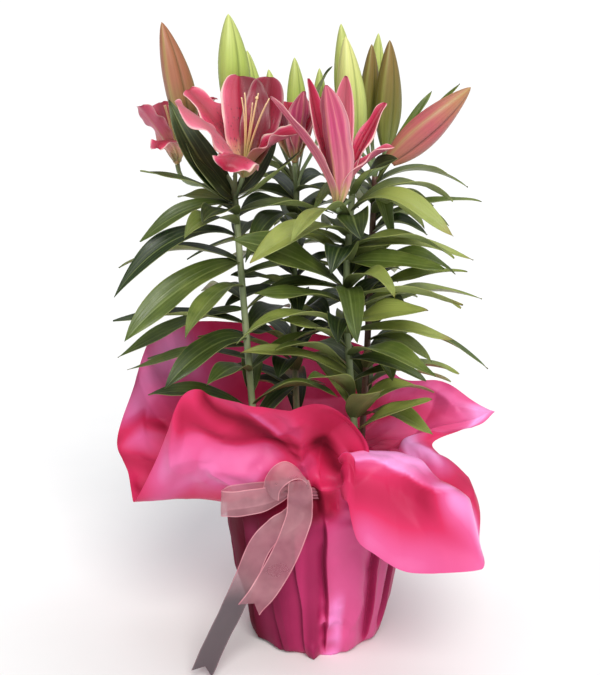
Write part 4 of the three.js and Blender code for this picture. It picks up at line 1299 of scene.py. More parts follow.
def stamen_piece(name, bloom):
    """The ovary, the filaments and the style with its stigma."""
    b = Builder("along")
    axis = unit(bloom["axis"])
    foot = np.asarray(bloom["base"], float) + axis * STAMEN_FOOT
    tube(b, lambda t: foot + axis * OVARY[1] * t, lambda t: OVARY[0] * min(1, 0.5 + t), 8, 12, {})
    lines = stamen_lines(bloom)
    for line in lines:
        tube(b, lambda t: bezier(line, t), lambda t: FILAMENT_FOOT + (FILAMENT_TIP - FILAMENT_FOOT) * t,
             24, 10, {})
    tip = lines[-1][2]
    tube(b, lambda t: tip + axis * (STIGMA * 2 * t - STIGMA),
         lambda t: STIGMA * math.sin(math.pi * (0.1 + 0.8 * t)), 8, 12, {})
    b.piece("fine_stamens_" + name, "stamens_" + name, "stamen", STAMEN)


# Buds
BUD_ROWS = 44
BUD_SIDES = 48
BUD_TWIST = 0.35
BUD_WOBBLE = 0.02

# A bud's section, in shares of its radius: how far its three sides bulge, how deep the seams are and how
# wide, the same for the ridge between them, and the fine ribs
BUD_BULGE = 0.07
BUD_SEAM = (0.17, 0.13)
BUD_RIDGE = (0.06, 0.14)
BUD_RIBS = 0.015


def bud_piece(name, bud):
    """A spindle of three outer tepals whose edges meet in shallow seams."""
    _, _, base, tip, radius, kind = bud
    way, length, side, other = bud_frame(base, tip)
    t = np.linspace(0, 1, BUD_ROWS)
    angles = round_angles(BUD_SIDES)
    seam = np.abs((angles * 3 / (2 * np.pi) + 0.5) % 1 - 0.5) * 2
    groove = -BUD_SEAM[0] * np.exp(-(((1 - seam) / BUD_SEAM[1]) ** 2))
    ridge = BUD_RIDGE[0] * np.exp(-((seam / BUD_RIDGE[1]) ** 2))
    groove = groove + ridge + BUD_RIBS * np.cos(7 * np.pi * seam)
    bulge = 1 + BUD_BULGE * np.cos(3 * angles)
    wobble = BUD_WOBBLE * np.sin(7 * t[:, None] + 2 * angles[None, :])
    fade = np.sin(np.pi * np.clip(t * 0.9 + 0.08, 0, 1))[:, None] ** 0.5
    reach = radius * bud_shape(np.minimum(t, 0.9995))[:, None] * (bulge + groove * fade + wobble)
    bearing = angles[None, :] + BUD_TWIST * t[:, None] ** 2
    points = (np.asarray(base) + (way * length)[None, None] * t[:, None, None]
              + (reach * np.cos(bearing))[..., None] * side + (reach * np.sin(bearing))[..., None] * other)
    marks = dict(along=np.repeat(t, BUD_SIDES), around=np.tile(np.sin(angles * 3), BUD_ROWS),
                 seam=np.tile(1 - seam, BUD_ROWS))
    make_piece("fine_bud_" + name, "bud_" + name, points.reshape(-1, 3),
               capped_faces(BUD_ROWS, BUD_SIDES), BUD_SKIN[kind], marks)


# Film
FILM_COLUMNS = 20
COLLAR_FINE = 66
BODY_FINE = [1, 2, 4, 40, 12, 5, 6, 4]
FLOOR_RADIUS = 30
ROUNDED_FROM = 4
NECK_GATHERS = 17

# Heights between which the film leaves the pot behind it
BACKED = (138, 160)

# Pleats folded over in the pot's film: the edge's angle, how far it stands out, which side lies on top,
# lowest and highest end, lean, and how much shade is painted on the film at its foot
PLEAT_EDGES = [
    [-6, 6.5, 1, 4, 150, 3, 1.1],
    [-49, 6, 1, 4, 156, 4, 0.6],
    [-69, 5, 1, 12, 156, -3, 0.5],
    [-96, 5, -1, 0, 156, 3, 0.5],
    [13, 5, 1, 0, 140, 5, 0.8],
    [36, 5, 1, 0, 140, 6, 0.8],
    [58, 5, 1, 0, 156, -5, 0.6],
    [84, 5, 1, 0, 156, 2, 0.5],
    [110, 4.5, 1, 0, 156, 4, 0.5],
    [138, 5, -1, 0, 156, -5, 0.5],
    [163, 4.6, 1, 8, 156, 4, 0.5],
    [194, 5, -1, 0, 156, -3, 0.5],
    [222, 4.4, 1, 6, 156, 5, 0.5],
    [244, 5, -1, 0, 156, -4, 0.5],
]

# Degrees over which a pleat rises, comes back past its edge, and over which the shade painted at its
# foot fades. Then how far its edge sways and over what height, how deep the film lies past it, and how
# much less so at the pot's lip.
PLEAT_SLOPE = 15
PLEAT_SHADE = 5
PLEAT_PAINTED_SHADE_SPAN = 1.8
PLEAT_SWAY = (0.8, 13)
PLEAT_SUNK = 0.5
LIP_SUNK = 0.72

# Folds of the collar, each along a line of angles round the neck and shares of the way to the free
# edge, with its height, half width and how sharp it is
FOLDS = [
    [[(8, 0.4), (12, 0.62), (18, 0.8), (28, 0.96)], -13, 34, 1.3],
    [[(8, 0.42), (9.5, 0.7), (12, 0.92)], 7, 12, 1.0],
    [[(24, 0.75), (40, 0.92)], 8, 30, 1.6],
    [[(15, 0.48), (27, 0.68), (38, 0.82)], -9, 20, 1.2],
    [[(20, 0.36), (34, 0.6), (46, 0.84)], 9, 30, 1.8],
    [[(6, 0.3), (3.4, 0.56), (3.4, 1)], 6, 16, 1.5],
    [[(12, 0.62), (5, 0.82)], 3, 9, 1.4],
    [[(-2, 0.12), (-4, 0.45), (-9, 0.85)], -10, 18, 1.4],
    [[(4, 0.05), (5, 0.42)], 4, 6, 1.3],
    [[(17, 0.05), (19, 0.4)], -4, 7, 1.3],
    [[(27, 0.05), (33, 0.5)], 4, 9, 1.4],
    [[(344, 1), (326, 0.58), (315, 0.64), (307, 0.73)], -9, 50, 1.8],
    [[(342, 0.61), (326, 0.58), (315, 0.64), (307, 0.73)], -5, 11, 1.05],
    [[(307, 0.73), (292, 0.84), (278, 1)], -9, 22, 1.1],
    [[(274, 0.5), (307, 0.72)], 7, 20, 1.3],
    [[(30, 0.2), (62, 0.32)], 13, 40, 2],
    [[(262, 0.3), (276, 0.6), (286, 0.8)], 7, 18, 1.5],
    [[(268, 0.1), (257, 0.75)], -6, 14, 1.5],
    [[(213, 0.9), (228, 0.8), (240, 0.98)], -6, 14, 1.5],
    [[(236, 0.15), (219, 0.85)], 7, 18, 1.4],
    [[(230, 0.1), (240, 0.95)], -6, 18, 1.5],
    [[(90, 1), (98, 0.76), (104, 0.6)], 8, 22, 1.1],
    [[(84, 0.1), (82, 0.8)], -6, 22, 1.5],
    [[(104, 0.1), (103, 0.95)], 6, 22, 1.5],
    [[(121, 0.1), (126, 0.98)], -7, 24, 1.5],
    [[(66, 0.15), (70, 0.9)], 6, 20, 1.5],
    [[(142, 0.1), (136, 0.95)], 6, 22, 1.4],
    [[(158, 0.1), (163, 0.98)], -8, 24, 1.5],
    [[(176, 0.1), (174, 0.9)], 6, 22, 1.4],
    [[(192, 0.1), (197, 0.98)], -7, 22, 1.5],
    [[(208, 0.1), (204, 0.85)], 6, 18, 1.4],
    [[(150, 0.45), (190, 0.62)], 5, 20, 1.5],
]
FOLD_DEGREE = 2.6
FOLD_REACH = 120

# Painted light of the collar: each along a line of angles and shares, with its half width, and from -1,
# crimson painted shade, to 1, lilac painted highlight
COLLAR_PAINTED_LIGHT = [
    [[(48, 0.92), (31, 0.66), (22, 0.48)], 24, 0.34],
    [[(62, 0.8), (46, 0.5), (34, 0.3)], 22, 0.35],
    [[(52, 0.86), (34, 0.45), (20, 0.28)], 30, 0.35],
    [[(37, 0.9), (28, 0.76), (15, 0.55)], 14, -0.5],
    [[(27, 0.95), (17, 0.8), (11, 0.6), (8, 0.42)], 13, -0.8],
    [[(12, 0.92), (9.5, 0.7), (8, 0.44)], 5, 0.5],
    [[(15, 0.95), (5, 0.9), (4, 0.6)], 18, 0.16],
    [[(-2, 0.95), (-5, 0.7), (-3, 0.5)], 20, -0.3],
    [[(-4, 0.5), (-8, 0.3)], 18, -0.9],
    [[(1, 0.52), (3, 0.4)], 8, 0.5],
    [[(12, 0.3), (30, 0.1)], 14, -0.5],
    [[(303, 0.77), (299, 0.83), (294, 0.94)], 17, 1],
    [[(334, 0.78), (320, 0.8), (306, 0.88)], 26, -0.25],
    [[(328, 0.96), (312, 0.96), (301, 0.98)], 24, 0.6],
    [[(330, 0.5), (312, 0.48), (290, 0.45), (262, 0.5), (270, 0.75)], 30, 1],
    [[(300, 0.62), (288, 0.78), (281, 0.92)], 12, -0.2],
    [[(200, 0.9), (222, 0.9), (240, 0.93)], 34, 0.5],
    [[(236, 0.94), (241, 0.9)], 16, 0.5],
    [[(222, 0.4), (240, 0.8)], 40, 0.3],
    [[(212, 0.4), (218, 0.75)], 16, 0.1],
    [[(98, 0.9), (112, 0.85), (126, 0.85)], 50, 0.8],
    [[(89, 1), (97, 0.78), (101, 0.6)], 8, -0.6],
    [[(83, 0.98), (80, 0.6)], 26, -0.4],
    [[(70, 0.9), (68, 0.5)], 14, -0.45],
    [[(150, 0.8), (190, 0.8)], 30, 0.2],
]

# Painted shade and highlights of the body: angle and height, half width in degrees, half height, and
# tone, below 0 painted shade and above 0 painted highlight
BODY_PAINTED_LIGHT = [
    [82, 90, 24, 130, -0.8],
    [44, 80, 24, 110, -0.5],
    [2, 80, 5, 110, -0.3],
    [-27, 70, 22, 110, 0.45],
    [-13, 26, 9, 36, 0.4],
    [-60, 60, 6, 90, 0.4],
    [0, 160, 14, 14, -0.8],
    [62, 152, 52, 20, -0.5],
]

# Corners of the sheet: angle, half width in degrees, and how far the corner is drawn out
CORNERS = [
    [302, 9, [5, -4, -3]],
    [240, 9, [5, -2, 0]],
    [58, 9, [-3, -2, -4]],
    [123, 10, [-4, 3, 4]],
]

# Where the collar lies smooth: middle and half width in degrees, and how much of the crumples it loses
SMOOTH_FLAP = (320, 42, 0.98)

# Crumples of the hem beside the front pleat: middle and half width in degrees, and how high they reach.
# Then the size of their pattern, how far they stand out, and how much highlight is painted on their
# ridges and shade in their hollows.
HEM_PLACE = (-12, 12, 78)
HEM_CRUMPLES = (20, 4.5, 0.6)

# Soft creases of the film round the pot: lines of angles and heights, height, half width and sharpness
BODY_FOLDS = [
    [[(-14, 102), (-34, 60)], 2.2, 11, 1.2],
    [[(-28, 112), (-45, 84)], -1.8, 10, 1.2],
    [[(-38, 52), (-24, 10)], 2.2, 10, 1.2],
    [[(-12, 44), (-30, 24)], -2, 8, 1.1],
    [[(2, 0), (3, 12)], 4.5, 7, 1.2],
    [[(24, 8), (30, 96)], 1.6, 7, 1.2],
    [[(84, 74), (90, 108)], 5.5, 34, 1],
    [[(70, 20), (76, 120)], 1.8, 9, 1.2],
    [[(122, 110), (130, 30)], 1.6, 10, 1.2],
    [[(176, 20), (184, 110)], 1.8, 10, 1.2],
    [[(208, 100), (214, 30)], -1.6, 9, 1.2],
    [[(262, 110), (270, 40)], 1.8, 10, 1.2],
]
BODY_DEGREE = 1.25

# Film drawn straight down over the tie beside the knot: where it starts and ends in degrees, how far its
# edge leans for each millimetre of height, and how far out it stands. It fades out over some degrees at
# each side, rises between two heights, and ends a share of the way up the collar.
POUCH = (3.6, -44, 0.18, 14)
POUCH_SIDES = (7, 12)
POUCH_HEIGHTS = (142, 158)
POUCH_TOP = 0.13

# The crest of the flap beside the knot, as angles and shares, how much highlight is painted on the film
# above it and shade below it, and how soon that fades. The flap begins within the first span of degrees
# and ends within the second, and its painted shade begins within the third.
CREST = [(281, 0.97), (300, 0.71), (307, 0.73), (315, 0.64), (326, 0.58), (334, 0.6), (346, 0.62)]
CREST_EDGE = (0.5, 0.4)
CREST_SPREAD = 0.1
CREST_SPANS = [(281, 292), (342, 352), (303, 309)]

# Relief of the film in millimetres: corners of its hem, gathers at the neck, and broad facets and small
# crumples after the size of their pattern, of which the body shows a share. Clouds of tone are given in
# the same way.
HEM_CORNERS = 2.6
GATHERS = 2.4
BODY_ROUGH = 0.55
FACETS = (52, 1.3)
CRUMPLES = (17, 0.2)
CLOUDS = (60, 0.1)
OCTAVE_SHIFT = 17.3


def noise_at(points, scale, octaves=3, ridged=False):
    """Smooth or ridged noise at millimetre points, about from -1 to 1."""
    flat = np.asarray(points, float).reshape(-1, 3) / scale
    values = np.zeros(len(flat))
    size = 1.0
    for k in range(octaves):
        layer = np.array([noise.noise(tuple(p)) for p in flat * 2**k + OCTAVE_SHIFT * k])
        values += size * ((1 - 2 * np.abs(layer) ** 0.7) if ridged else layer)
        size *= 0.5
    return values.reshape(np.asarray(points).shape[:-1])


def film_profile(profile, where):
    """The body's outline, with its upper corners rounded by a smooth line between the given points."""
    i = min(int(where), len(profile) - 2)
    if i >= ROUNDED_FROM:
        return line_at(profile, where / (len(profile) - 1))
    (r0, z0), (r1, z1) = profile[i], profile[i + 1]
    return r0 + (r1 - r0) * (where - i), z0 + (z1 - z0) * (where - i)


def body_rows():
    """Rows of the film round the pot, from the foot's middle: radius, height, share of the pleats."""
    profile = [[0, 0], [FLOOR_RADIUS, 0]] + FILM_BODY
    shares = [0, 0] + PLEAT_SHARE
    places = [i + k / n for i, n in enumerate(BODY_FINE) for k in range(n)] + [len(profile) - 1]
    rows = []
    for where in places:
        i = min(int(where), len(shares) - 2)
        share = shares[i] + (shares[i + 1] - shares[i]) * (where - i)
        rows.append([*film_profile(profile, where), share])
    return np.array(rows)


def pouch_out(angle, heights, collar):
    """How far the film over the tie stands out, at heights of the body and shares of the collar."""
    first, last, lean, out = POUCH
    off = turned(angle, 0)
    start = first - lean * np.maximum(NECK_HIGH - heights, 0)
    near = smoothstep(0, POUCH_SIDES[0], start - off) * smoothstep(last, last + POUCH_SIDES[1], off)
    body = near * smoothstep(*POUCH_HEIGHTS, heights)
    return out * np.concatenate([body, near[-1] * np.exp(-((collar / POUCH_TOP) ** 2))])


def film_grid():
    """The film's outer face: a grid of points, each with its place in the pot's body and collar."""
    radii, heights, pleats = body_rows().T
    collar = np.linspace(0, 1, COLLAR_FINE + 1)[1:]
    body = len(radii)
    columns = len(RIBS) * FILM_COLUMNS
    grid = np.zeros((columns, body + len(collar), 3))
    angle_of = np.zeros(columns)
    for k in range(columns):
        rib = rib_at(k / FILM_COLUMNS)
        angle = angle_of[k] = rib[0]
        out = np.array(from_front(angle, 1, 0))
        grid[k, :body] = (radii + pleat_at(angle) * pleats)[:, None] * out + heights[:, None] * UP
        grid[k, body:] = bezier(collar_line(grid[k, body - 1], rib), collar)
        for middle, width, pull in CORNERS:
            near = max(0.0, 1 - abs(turned(angle, middle)) / width) ** 1.3
            grid[k, body:] += near * (collar**4)[:, None] * np.array(pull)
        grid[k] += pouch_out(angle, heights, collar)[:, None] * out
    level = np.concatenate([heights, np.full(len(collar), NECK_HIGH)])
    opened = np.concatenate([np.zeros(body), collar])
    return grid, angle_of, level, opened


def stretch_distance(x, y, run, climb):
    """Distance of places from a straight stretch that starts at 0, 0."""
    share = np.clip((x * run + y * climb) / (run**2 + climb**2), 0, 1)
    return np.hypot(x - share * run, y - share * climb)


def crease_distance(angle, z, line):
    """Distance in millimetres of places of the body from a line between two angles and heights."""
    (a0, z0), (a1, z1) = line
    return stretch_distance(turned(angle, a0) * BODY_DEGREE, z - z0, (a1 - a0) * BODY_DEGREE, z1 - z0)


def fold_distance(angle, up, line):
    """Distance in millimetres, roughly, of places of the collar from a line of angles and shares."""
    best = np.full(np.broadcast_shapes(angle.shape, up.shape), np.inf)
    for (a0, s0), (a1, s1) in zip(line, line[1:]):
        x = turned(angle, a0) * FOLD_DEGREE * (0.45 + 0.55 * up)
        y = (up - s0) * FOLD_REACH
        here = stretch_distance(x, y, (a1 - a0) * FOLD_DEGREE, (s1 - s0) * FOLD_REACH)
        best = np.minimum(best, here)
    return best


def pleat_places(angle, z):
    """Each pleat's height and the shade painted at its foot, with the degrees of each place from its
    edge and its reach there.
    """
    sway, wave = PLEAT_SWAY
    for middle, height, way, low, high, lean, shade in PLEAT_EDGES:
        bent = middle + lean * (z - 90) / 90 + sway * np.sin(z / wave + middle)
        reach = smoothstep(low - 4, low + 12, z) * (1 - smoothstep(high - 14, high, z))
        yield height, shade, way * turned(angle, bent), reach


def pleat_relief(angle, z):
    """Pleats folded over in the film round the pot: each rises slowly and ends in a step."""
    move = np.zeros(np.broadcast_shapes(angle.shape, z.shape))
    room = 1 - LIP_SUNK * smoothstep(112, 128, z) * (1 - smoothstep(146, 154, z))
    for height, _, off, reach in pleat_places(angle, z):
        raised = np.exp(np.minimum(off, 0) / PLEAT_SLOPE)
        sunk = -PLEAT_SUNK * room * np.exp(-np.maximum(off, 0) / PLEAT_SHADE)
        past = smoothstep(-0.7, 0.7, off)
        move += height * reach * (raised * (1 - past) + sunk * past)
    return move * (0.5 + 0.5 * smoothstep(0, 45, z))


def gather_relief(turn):
    """Small uneven gathers, where the tie draws the film in."""
    first = np.abs(np.sin(NECK_GATHERS / 2 * turn + 2 * np.sin(3 * turn)))
    second = np.abs(np.sin(NECK_GATHERS * 0.71 * turn + 1.3 * np.sin(5 * turn + 1)))
    return 0.6 * first + 0.4 * second - 0.62


def hem_share(angle, z):
    """How crumpled the film's hem is, beside the pleat at the front."""
    middle, reach, top = HEM_PLACE
    near = np.clip(1.6 - 1.6 * np.abs(turned(angle, middle)) / reach, 0, 1)
    return near * (1 - smoothstep(top - 40, top, z))


def film_relief(grid, angle_of, level, opened, hem):
    """How far each point of the film moves out along its normal: pleats, gathers, folds and crumples."""
    angle, z, up = angle_of[:, None], level[None, :], opened[None, :]
    turn = np.radians(angle)
    on_body, on_collar = up == 0, up > 0
    move = pleat_relief(angle, z) * on_body
    corners = 1 - np.abs(np.sin(4.5 * turn + 0.7 * np.sin(2 * turn) - 0.25))
    move += on_body * HEM_CORNERS * corners * (1 - smoothstep(2, 34, z)) * smoothstep(0, 3, z)
    middle, reach, less = SMOOTH_FLAP
    rough = 1 - less * np.clip(1.5 - np.abs(turned(angle, middle)) / reach, 0, 1) * on_collar
    near_neck = smoothstep(144, 160, z) * on_body + on_collar * (1 - smoothstep(0.02, 0.3, up))
    move += near_neck * gather_relief(turn) * GATHERS * rough
    for line, height, width, sharp in FOLDS:
        close = np.clip(1 - fold_distance(angle, up, line) / width, 0, 1)
        move += on_collar * height * smoothstep(0, 0.2, up) * close**sharp
    facets = FACETS[1] * noise_at(grid * [1, 1, 0.6], FACETS[0], 1, ridged=True)
    crumples = CRUMPLES[1] * noise_at(grid, CRUMPLES[0], 2, ridged=True)
    body_share = BODY_ROUGH * smoothstep(4, 25, z) * (1 - smoothstep(128, 150, z))
    move += np.where(on_body, body_share, smoothstep(0, 0.3, up)) * rough * (facets + crumples)
    for line, height, width, sharp in BODY_FOLDS:
        move += on_body * height * np.clip(1 - crease_distance(angle, z, line) / width, 0, 1) ** sharp
    move += on_body * hem_share(angle, z) * HEM_CRUMPLES[1] * hem
    return move * (z > 0.5)


def crest_painted_light(angle, up):
    """Painted highlight above the crest of the flap beside the knot, and painted shade below it."""
    around = angle % 360
    begin, end, below = CREST_SPANS
    over = np.interp(around, *zip(*CREST)) - up
    flap = smoothstep(*begin, around) * (1 - smoothstep(*end, around))
    above = smoothstep(-0.02, 0.02, over)
    edge = CREST_EDGE[0] * above - CREST_EDGE[1] * (1 - above) * smoothstep(*below, around)
    return flap * edge * np.exp(-np.abs(over) / CREST_SPREAD)


def film_tone_and_painted_light(grid, angle_of, level, opened, hem):
    """How far the film's colour goes from its usual pink: random clouds, with painted shade in crimson
    below 0 and painted highlights in lilac above.
    """
    angle, z, up = angle_of[:, None], level[None, :], opened[None, :]
    on_body, on_collar = up == 0, up > 0
    tone = CLOUDS[1] * noise_at(grid, CLOUDS[0], 2)
    # Painted shade at the foot of each pleat
    for _, shade, off, reach in pleat_places(angle, z):
        foot = smoothstep(-1.4, 0.6, off) * np.exp(-np.maximum(off, 0) / PLEAT_PAINTED_SHADE_SPAN)
        tone -= on_body * shade * reach * foot
    for line, width, amount in COLLAR_PAINTED_LIGHT:
        tone += on_collar * amount * smoothstep(0, 1, 1 - fold_distance(angle, up, line) / width)
    tone += on_collar * crest_painted_light(angle, up)
    for middle, height, wide, high, amount in BODY_PAINTED_LIGHT:
        across = smoothstep(0, 1, 1.5 - np.abs(turned(angle, middle)) / wide)
        tone += on_body * amount * across * smoothstep(0, 1, 1.5 - np.abs(z - height) / high)
    # Painted highlights on the crumpled ridges of the hem and painted shade in their hollows
    tone += on_body * hem_share(angle, z) * HEM_CRUMPLES[2] * np.clip(hem, -0.4, 1)
    return np.clip(tone, -1, 1)


def face_normals(grid):
    """Unit normals of a grid closed across its first axis."""
    around = np.roll(grid, -1, axis=0) - np.roll(grid, 1, axis=0)
    along = np.gradient(grid, axis=1)
    normal = np.cross(along, around)
    size = np.linalg.norm(normal, axis=-1, keepdims=True)
    return normal / np.maximum(size, 1e-9)


def film_piece():
    place = film_grid()
    grid, _, level, _ = place
    hem = noise_at(grid, HEM_CRUMPLES[0], 1, ridged=True)
    normals = face_normals(grid)
    outward = np.sign((normals[:, 10] * grid[:, 10] * [1, 1, 0]).sum(-1).mean())
    sheet = grid + normals * outward * film_relief(*place, hem)[..., None]
    sheet[..., 2] = np.maximum(sheet[..., 2], 0)
    sheet, level, tone = sheet[:, 1:], level[1:], film_tone_and_painted_light(*place, hem)[:, 1:]
    columns, rows = sheet.shape[:2]
    points = np.concatenate([[[0, 0, 0]], sheet.reshape(-1, 3)])
    foot = [(0, 1 + k * rows, 1 + (k + 1) % columns * rows) for k in range(columns)]
    backed = np.tile(1 - smoothstep(*BACKED, level), columns)
    # The tone mark holds random clouds with painted shade and painted highlights
    marks = dict(backed=np.concatenate([[1], backed]), tone=np.concatenate([[0], tone.reshape(-1)]))
    faces = foot + column_faces(columns, rows, 1)
    piece = make_piece("film_sheet", "wrap_film", points, faces, FILM_PINK, marks)


# Ribbon
BAND_STEPS = 90
BAND_COLUMNS = 17
RIPPLE = 1.1
TAIL_NOTCH = 7
GATHER_LENGTH = 12
EDGE_CURL = (0.4, 3.4)
WEAVE_LENGTH = 200

# Ribbon bands: their line, the side's direction at its start and end, width, how they hang, how much
# narrower they are at the knot, and the ripple's phase. The back tail takes painted shade, darker and
# less sheer, between two shares.
BANDS = {
    "ribbon_loop_left": dict(
        line=[
            [-24, -77.2, 175],
            [-44, -95, 173],
            [-68, -101, 171],
            [-84, -98, 170],
            [-76, -88, 171],
            [-52, -83, 173],
            [-24, -73.2, 175],
        ],
        sides=([0, 0, 1], [0, 0, 1]), width=RIBBON_WIDTH, held="folded", pinch=0.5, phase=0,
    ),
    "ribbon_tail_front": dict(
        line=[
            [-16, -85, 186],
            [-15, -89, 176],
            [-15, -90, 164],
            [-17, -91, 150],
            [-28, -97, 122],
            [-45, -99, 90],
            [-61, -99, 68],
        ],
        sides=([0.9, -0.4, 0], [1, 0.1, 0.6]), width=RIBBON_WIDTH, held="hung", pinch=0.2, phase=2,
    ),
    "ribbon_tail_back": dict(
        line=[
            [-17, -77, 161.8],
            [-22, -82, 151],
            [-36, -86, 142],
            [-51, -91, 126],
            [-64, -97, 96],
            [-78, -99, 64],
            [-92, -101, 35],
            [-104, -104, 7],
        ],
        sides=([1, -0.1, 0], [1, 0.2, 0.8]), width=RIBBON_WIDTH * 0.85, held="hung", pinch=0.5, phase=3,
        painted_shade=(0.48, 0.7),
    ),
}

# The back and front edge of the upper loop, the middle of its hollow, and how far it crowns
ARCH_BACK = [
    [-47, -93, 183],
    [-45, -98, 195],
    [-38, -101, 206],
    [-28, -100, 210],
    [-18, -99, 204],
    [-11, -95, 192],
    [-8, -86, 179],
]
ARCH_FRONT = [
    [-34, -100, 173],
    [-33, -105, 183],
    [-28, -107, 190],
    [-21, -105, 194],
    [-14, -102, 194],
    [-9, -99, 189],
    [-7, -90, 178],
]
ARCH_HEART = (-24, -88, 184)
ARCH_CROWN = 1.6


def band_length(line):
    places = np.array([line_at(line, t) for t in np.linspace(0, 1, 200)])
    return np.linalg.norm(np.diff(places, axis=0), axis=1).sum()


def ribbon_sheet(name, points, length, painted_shade=None):
    """A ribbon band from its grid of points, marked along and across, with painted shade between two
    shares.
    """
    rows, columns = points.shape[:2]
    share = np.repeat(np.linspace(0, 1, rows), columns)
    marks = dict(along=share * length / WEAVE_LENGTH, across=np.tile(np.linspace(-1, 1, columns), rows),
                 painted_shade=smoothstep(*painted_shade, share) if painted_shade else 0 * share)
    faces = grid_faces(rows, columns)
    piece = make_piece("organza_" + name, name, points.reshape(-1, 3), faces, ORGANZA, marks)


def band_piece(name):
    """A ribbon band as one thin sheet: rippled, gathered where it leaves the knot, cut at its end."""
    band = BANDS[name]
    line, width, phase = band["line"], band["width"], band["phase"]
    tail = band["held"] == "hung"
    first, last = (np.array(v, float) for v in band["sides"])
    s = np.linspace(-1, 1, BAND_COLUMNS)
    length = band_length(line)
    curl, wave = EDGE_CURL
    notch = TAIL_NOTCH * (1 - np.abs(s)) / length if tail else 0 * s
    points = np.zeros((BAND_STEPS, BAND_COLUMNS, 3))
    for i, share in enumerate(np.linspace(0, 1, BAND_STEPS)):
        for k in range(BAND_COLUMNS):
            where = share * (1 - notch[k])
            here = line_at(line, where)
            way = unit(line_at(line, min(1, where + 0.01)) - line_at(line, max(0, where - 0.01)))
            wish = first + (last - first) * where
            side = unit(wish - way * wish.dot(way))
            pinch = 1 - band["pinch"] * math.exp(-where * length / GATHER_LENGTH)
            if not tail:
                pinch *= 1 - band["pinch"] * math.exp(-(1 - where) * length / GATHER_LENGTH)
            gather = 2.2 * (1 - pinch) * math.sin(s[k] * 9)
            ripple = RIPPLE * math.sin(2.2 * s[k] + 11 * where + phase) * math.sin(7 * where + phase)
            edge = curl * s[k] ** 4 * math.sin(where * length / wave + phase)
            out = np.cross(side, way) * (gather + ripple + edge)
            points[i, k] = here + side * s[k] * width / 2 * pinch + out
    ribbon_sheet(name, points, length, band.get("painted_shade"))


def arch_piece(name):
    """The loop over the knot: an arch of ribbon between its back edge and its front edge."""
    t = np.linspace(0, 1, BAND_STEPS)
    s = np.linspace(-1, 1, BAND_COLUMNS)
    back, front = (np.array([line_at(edge, share) for share in t]) for edge in (ARCH_BACK, ARCH_FRONT))
    middle = (back + front) / 2
    out = unit(middle - np.array(ARCH_HEART))
    points = back[:, None] * (1 - s[:, None]) / 2 + front[:, None] * (1 + s[:, None]) / 2
    crown = ARCH_CROWN * (1 - s**2)[None, :] + 0.5 * np.sin(4 * s[None, :] + 9 * t[:, None])
    points = points + out[:, None] * crown[..., None]
    length = np.linalg.norm(np.diff(middle, axis=0), axis=1).sum()
    ribbon_sheet(name, points, length)


TIE_OUTER = NECK_RADIUS + TIE_CLEAR + TIE_THICK
TIE_MEAN = 67
TIE_HALF = 4.6
TIE_COLUMNS = 220
TIE_ROWS = 48

# Folds of the tie, from its lower edge to its upper one: radius, and share of half its height
TIE_FOLDS = [
    [66.4, -1],
    [68.8, -0.78],
    [66.6, -0.5],
    [69.4, -0.22],
    [66.8, 0.08],
    [69.5, 0.34],
    [66.8, 0.58],
    [69, 0.8],
    [66.4, 1],
]


def tie_piece():
    """The ribbon round the neck, bunched into a narrow band of folds."""
    angles = round_angles(TIE_COLUMNS)
    points = np.zeros((TIE_COLUMNS, TIE_ROWS, 3))
    for k, a in enumerate(angles):
        half = TIE_HALF * (1 + 0.12 * math.sin(3 * a + 1) + 0.06 * math.sin(11 * a))
        for i in range(TIE_ROWS):
            r, h = line_at(TIE_FOLDS, i / (TIE_ROWS - 1))
            r += 0.35 * math.sin(23 * a + 5 * h) + 0.25 * math.sin(37 * a - 4 * h)
            z = TIE_Z + h * half + 0.5 * math.sin(2 * a + 3 * h)
            points[k, i] = [-r * math.sin(a), -r * math.cos(a), z]
    marks = dict(across=np.tile(np.linspace(-1, 1, TIE_ROWS), TIE_COLUMNS),
                 along=np.repeat(angles * TIE_MEAN / WEAVE_LENGTH, TIE_ROWS))
    piece = make_piece("organza_tie", "ribbon_tie", points.reshape(-1, 3),
                       column_faces(TIE_COLUMNS, TIE_ROWS), ORGANZA_THICK, marks)


KNOT_WRAP = (10, 7.5, 12)
KNOT_ROWS = 70
KNOT_SIDES = 96


def knot_piece():
    """The knot: ribbon wrapped over itself, with folds that run down its front."""
    centre = np.array(from_front(KNOT_ANGLE, TIE_OUTER + KNOT_SEAT, TIE_Z + KNOT_RISE))
    lift = (np.linspace(-1, 1, KNOT_ROWS) * np.pi / 2)[:, None]
    turn = round_angles(KNOT_SIDES)
    x, y = np.cos(lift) * np.cos(turn), np.cos(lift) * np.sin(turn)
    z = np.repeat(np.sin(lift), KNOT_SIDES, 1)
    folds = 0.07 * np.abs(np.sin(6 * (x + 0.15 * z) + z)) + 0.04 * np.sin(13 * x - 3 * z)
    square = (np.abs(x) ** 3 + np.abs(y) ** 3 + np.abs(z) ** 3) ** (-1 / 3)
    size = square * 0.96 * (1 + folds - 0.06)
    points = centre + np.stack([x, y, z], -1) * np.array(KNOT_WRAP) * size[..., None]
    marks = dict(across=(x * 0.95).reshape(-1), along=(z * 0.1).reshape(-1))
    make_piece("organza_knot", "ribbon_knot", points.reshape(-1, 3),
               capped_faces(KNOT_ROWS, KNOT_SIDES), ORGANZA_THICK, marks)


# Soil
SOIL_SIDES = 160
SOIL_RINGS = 46

# Crumbs of the soil: the size of their pattern, its octaves, and their height
SOIL_CRUMBS = [(9, 3, 2.2), (3.2, 2, 0.8)]
CRUMB_HIGHEST = 3


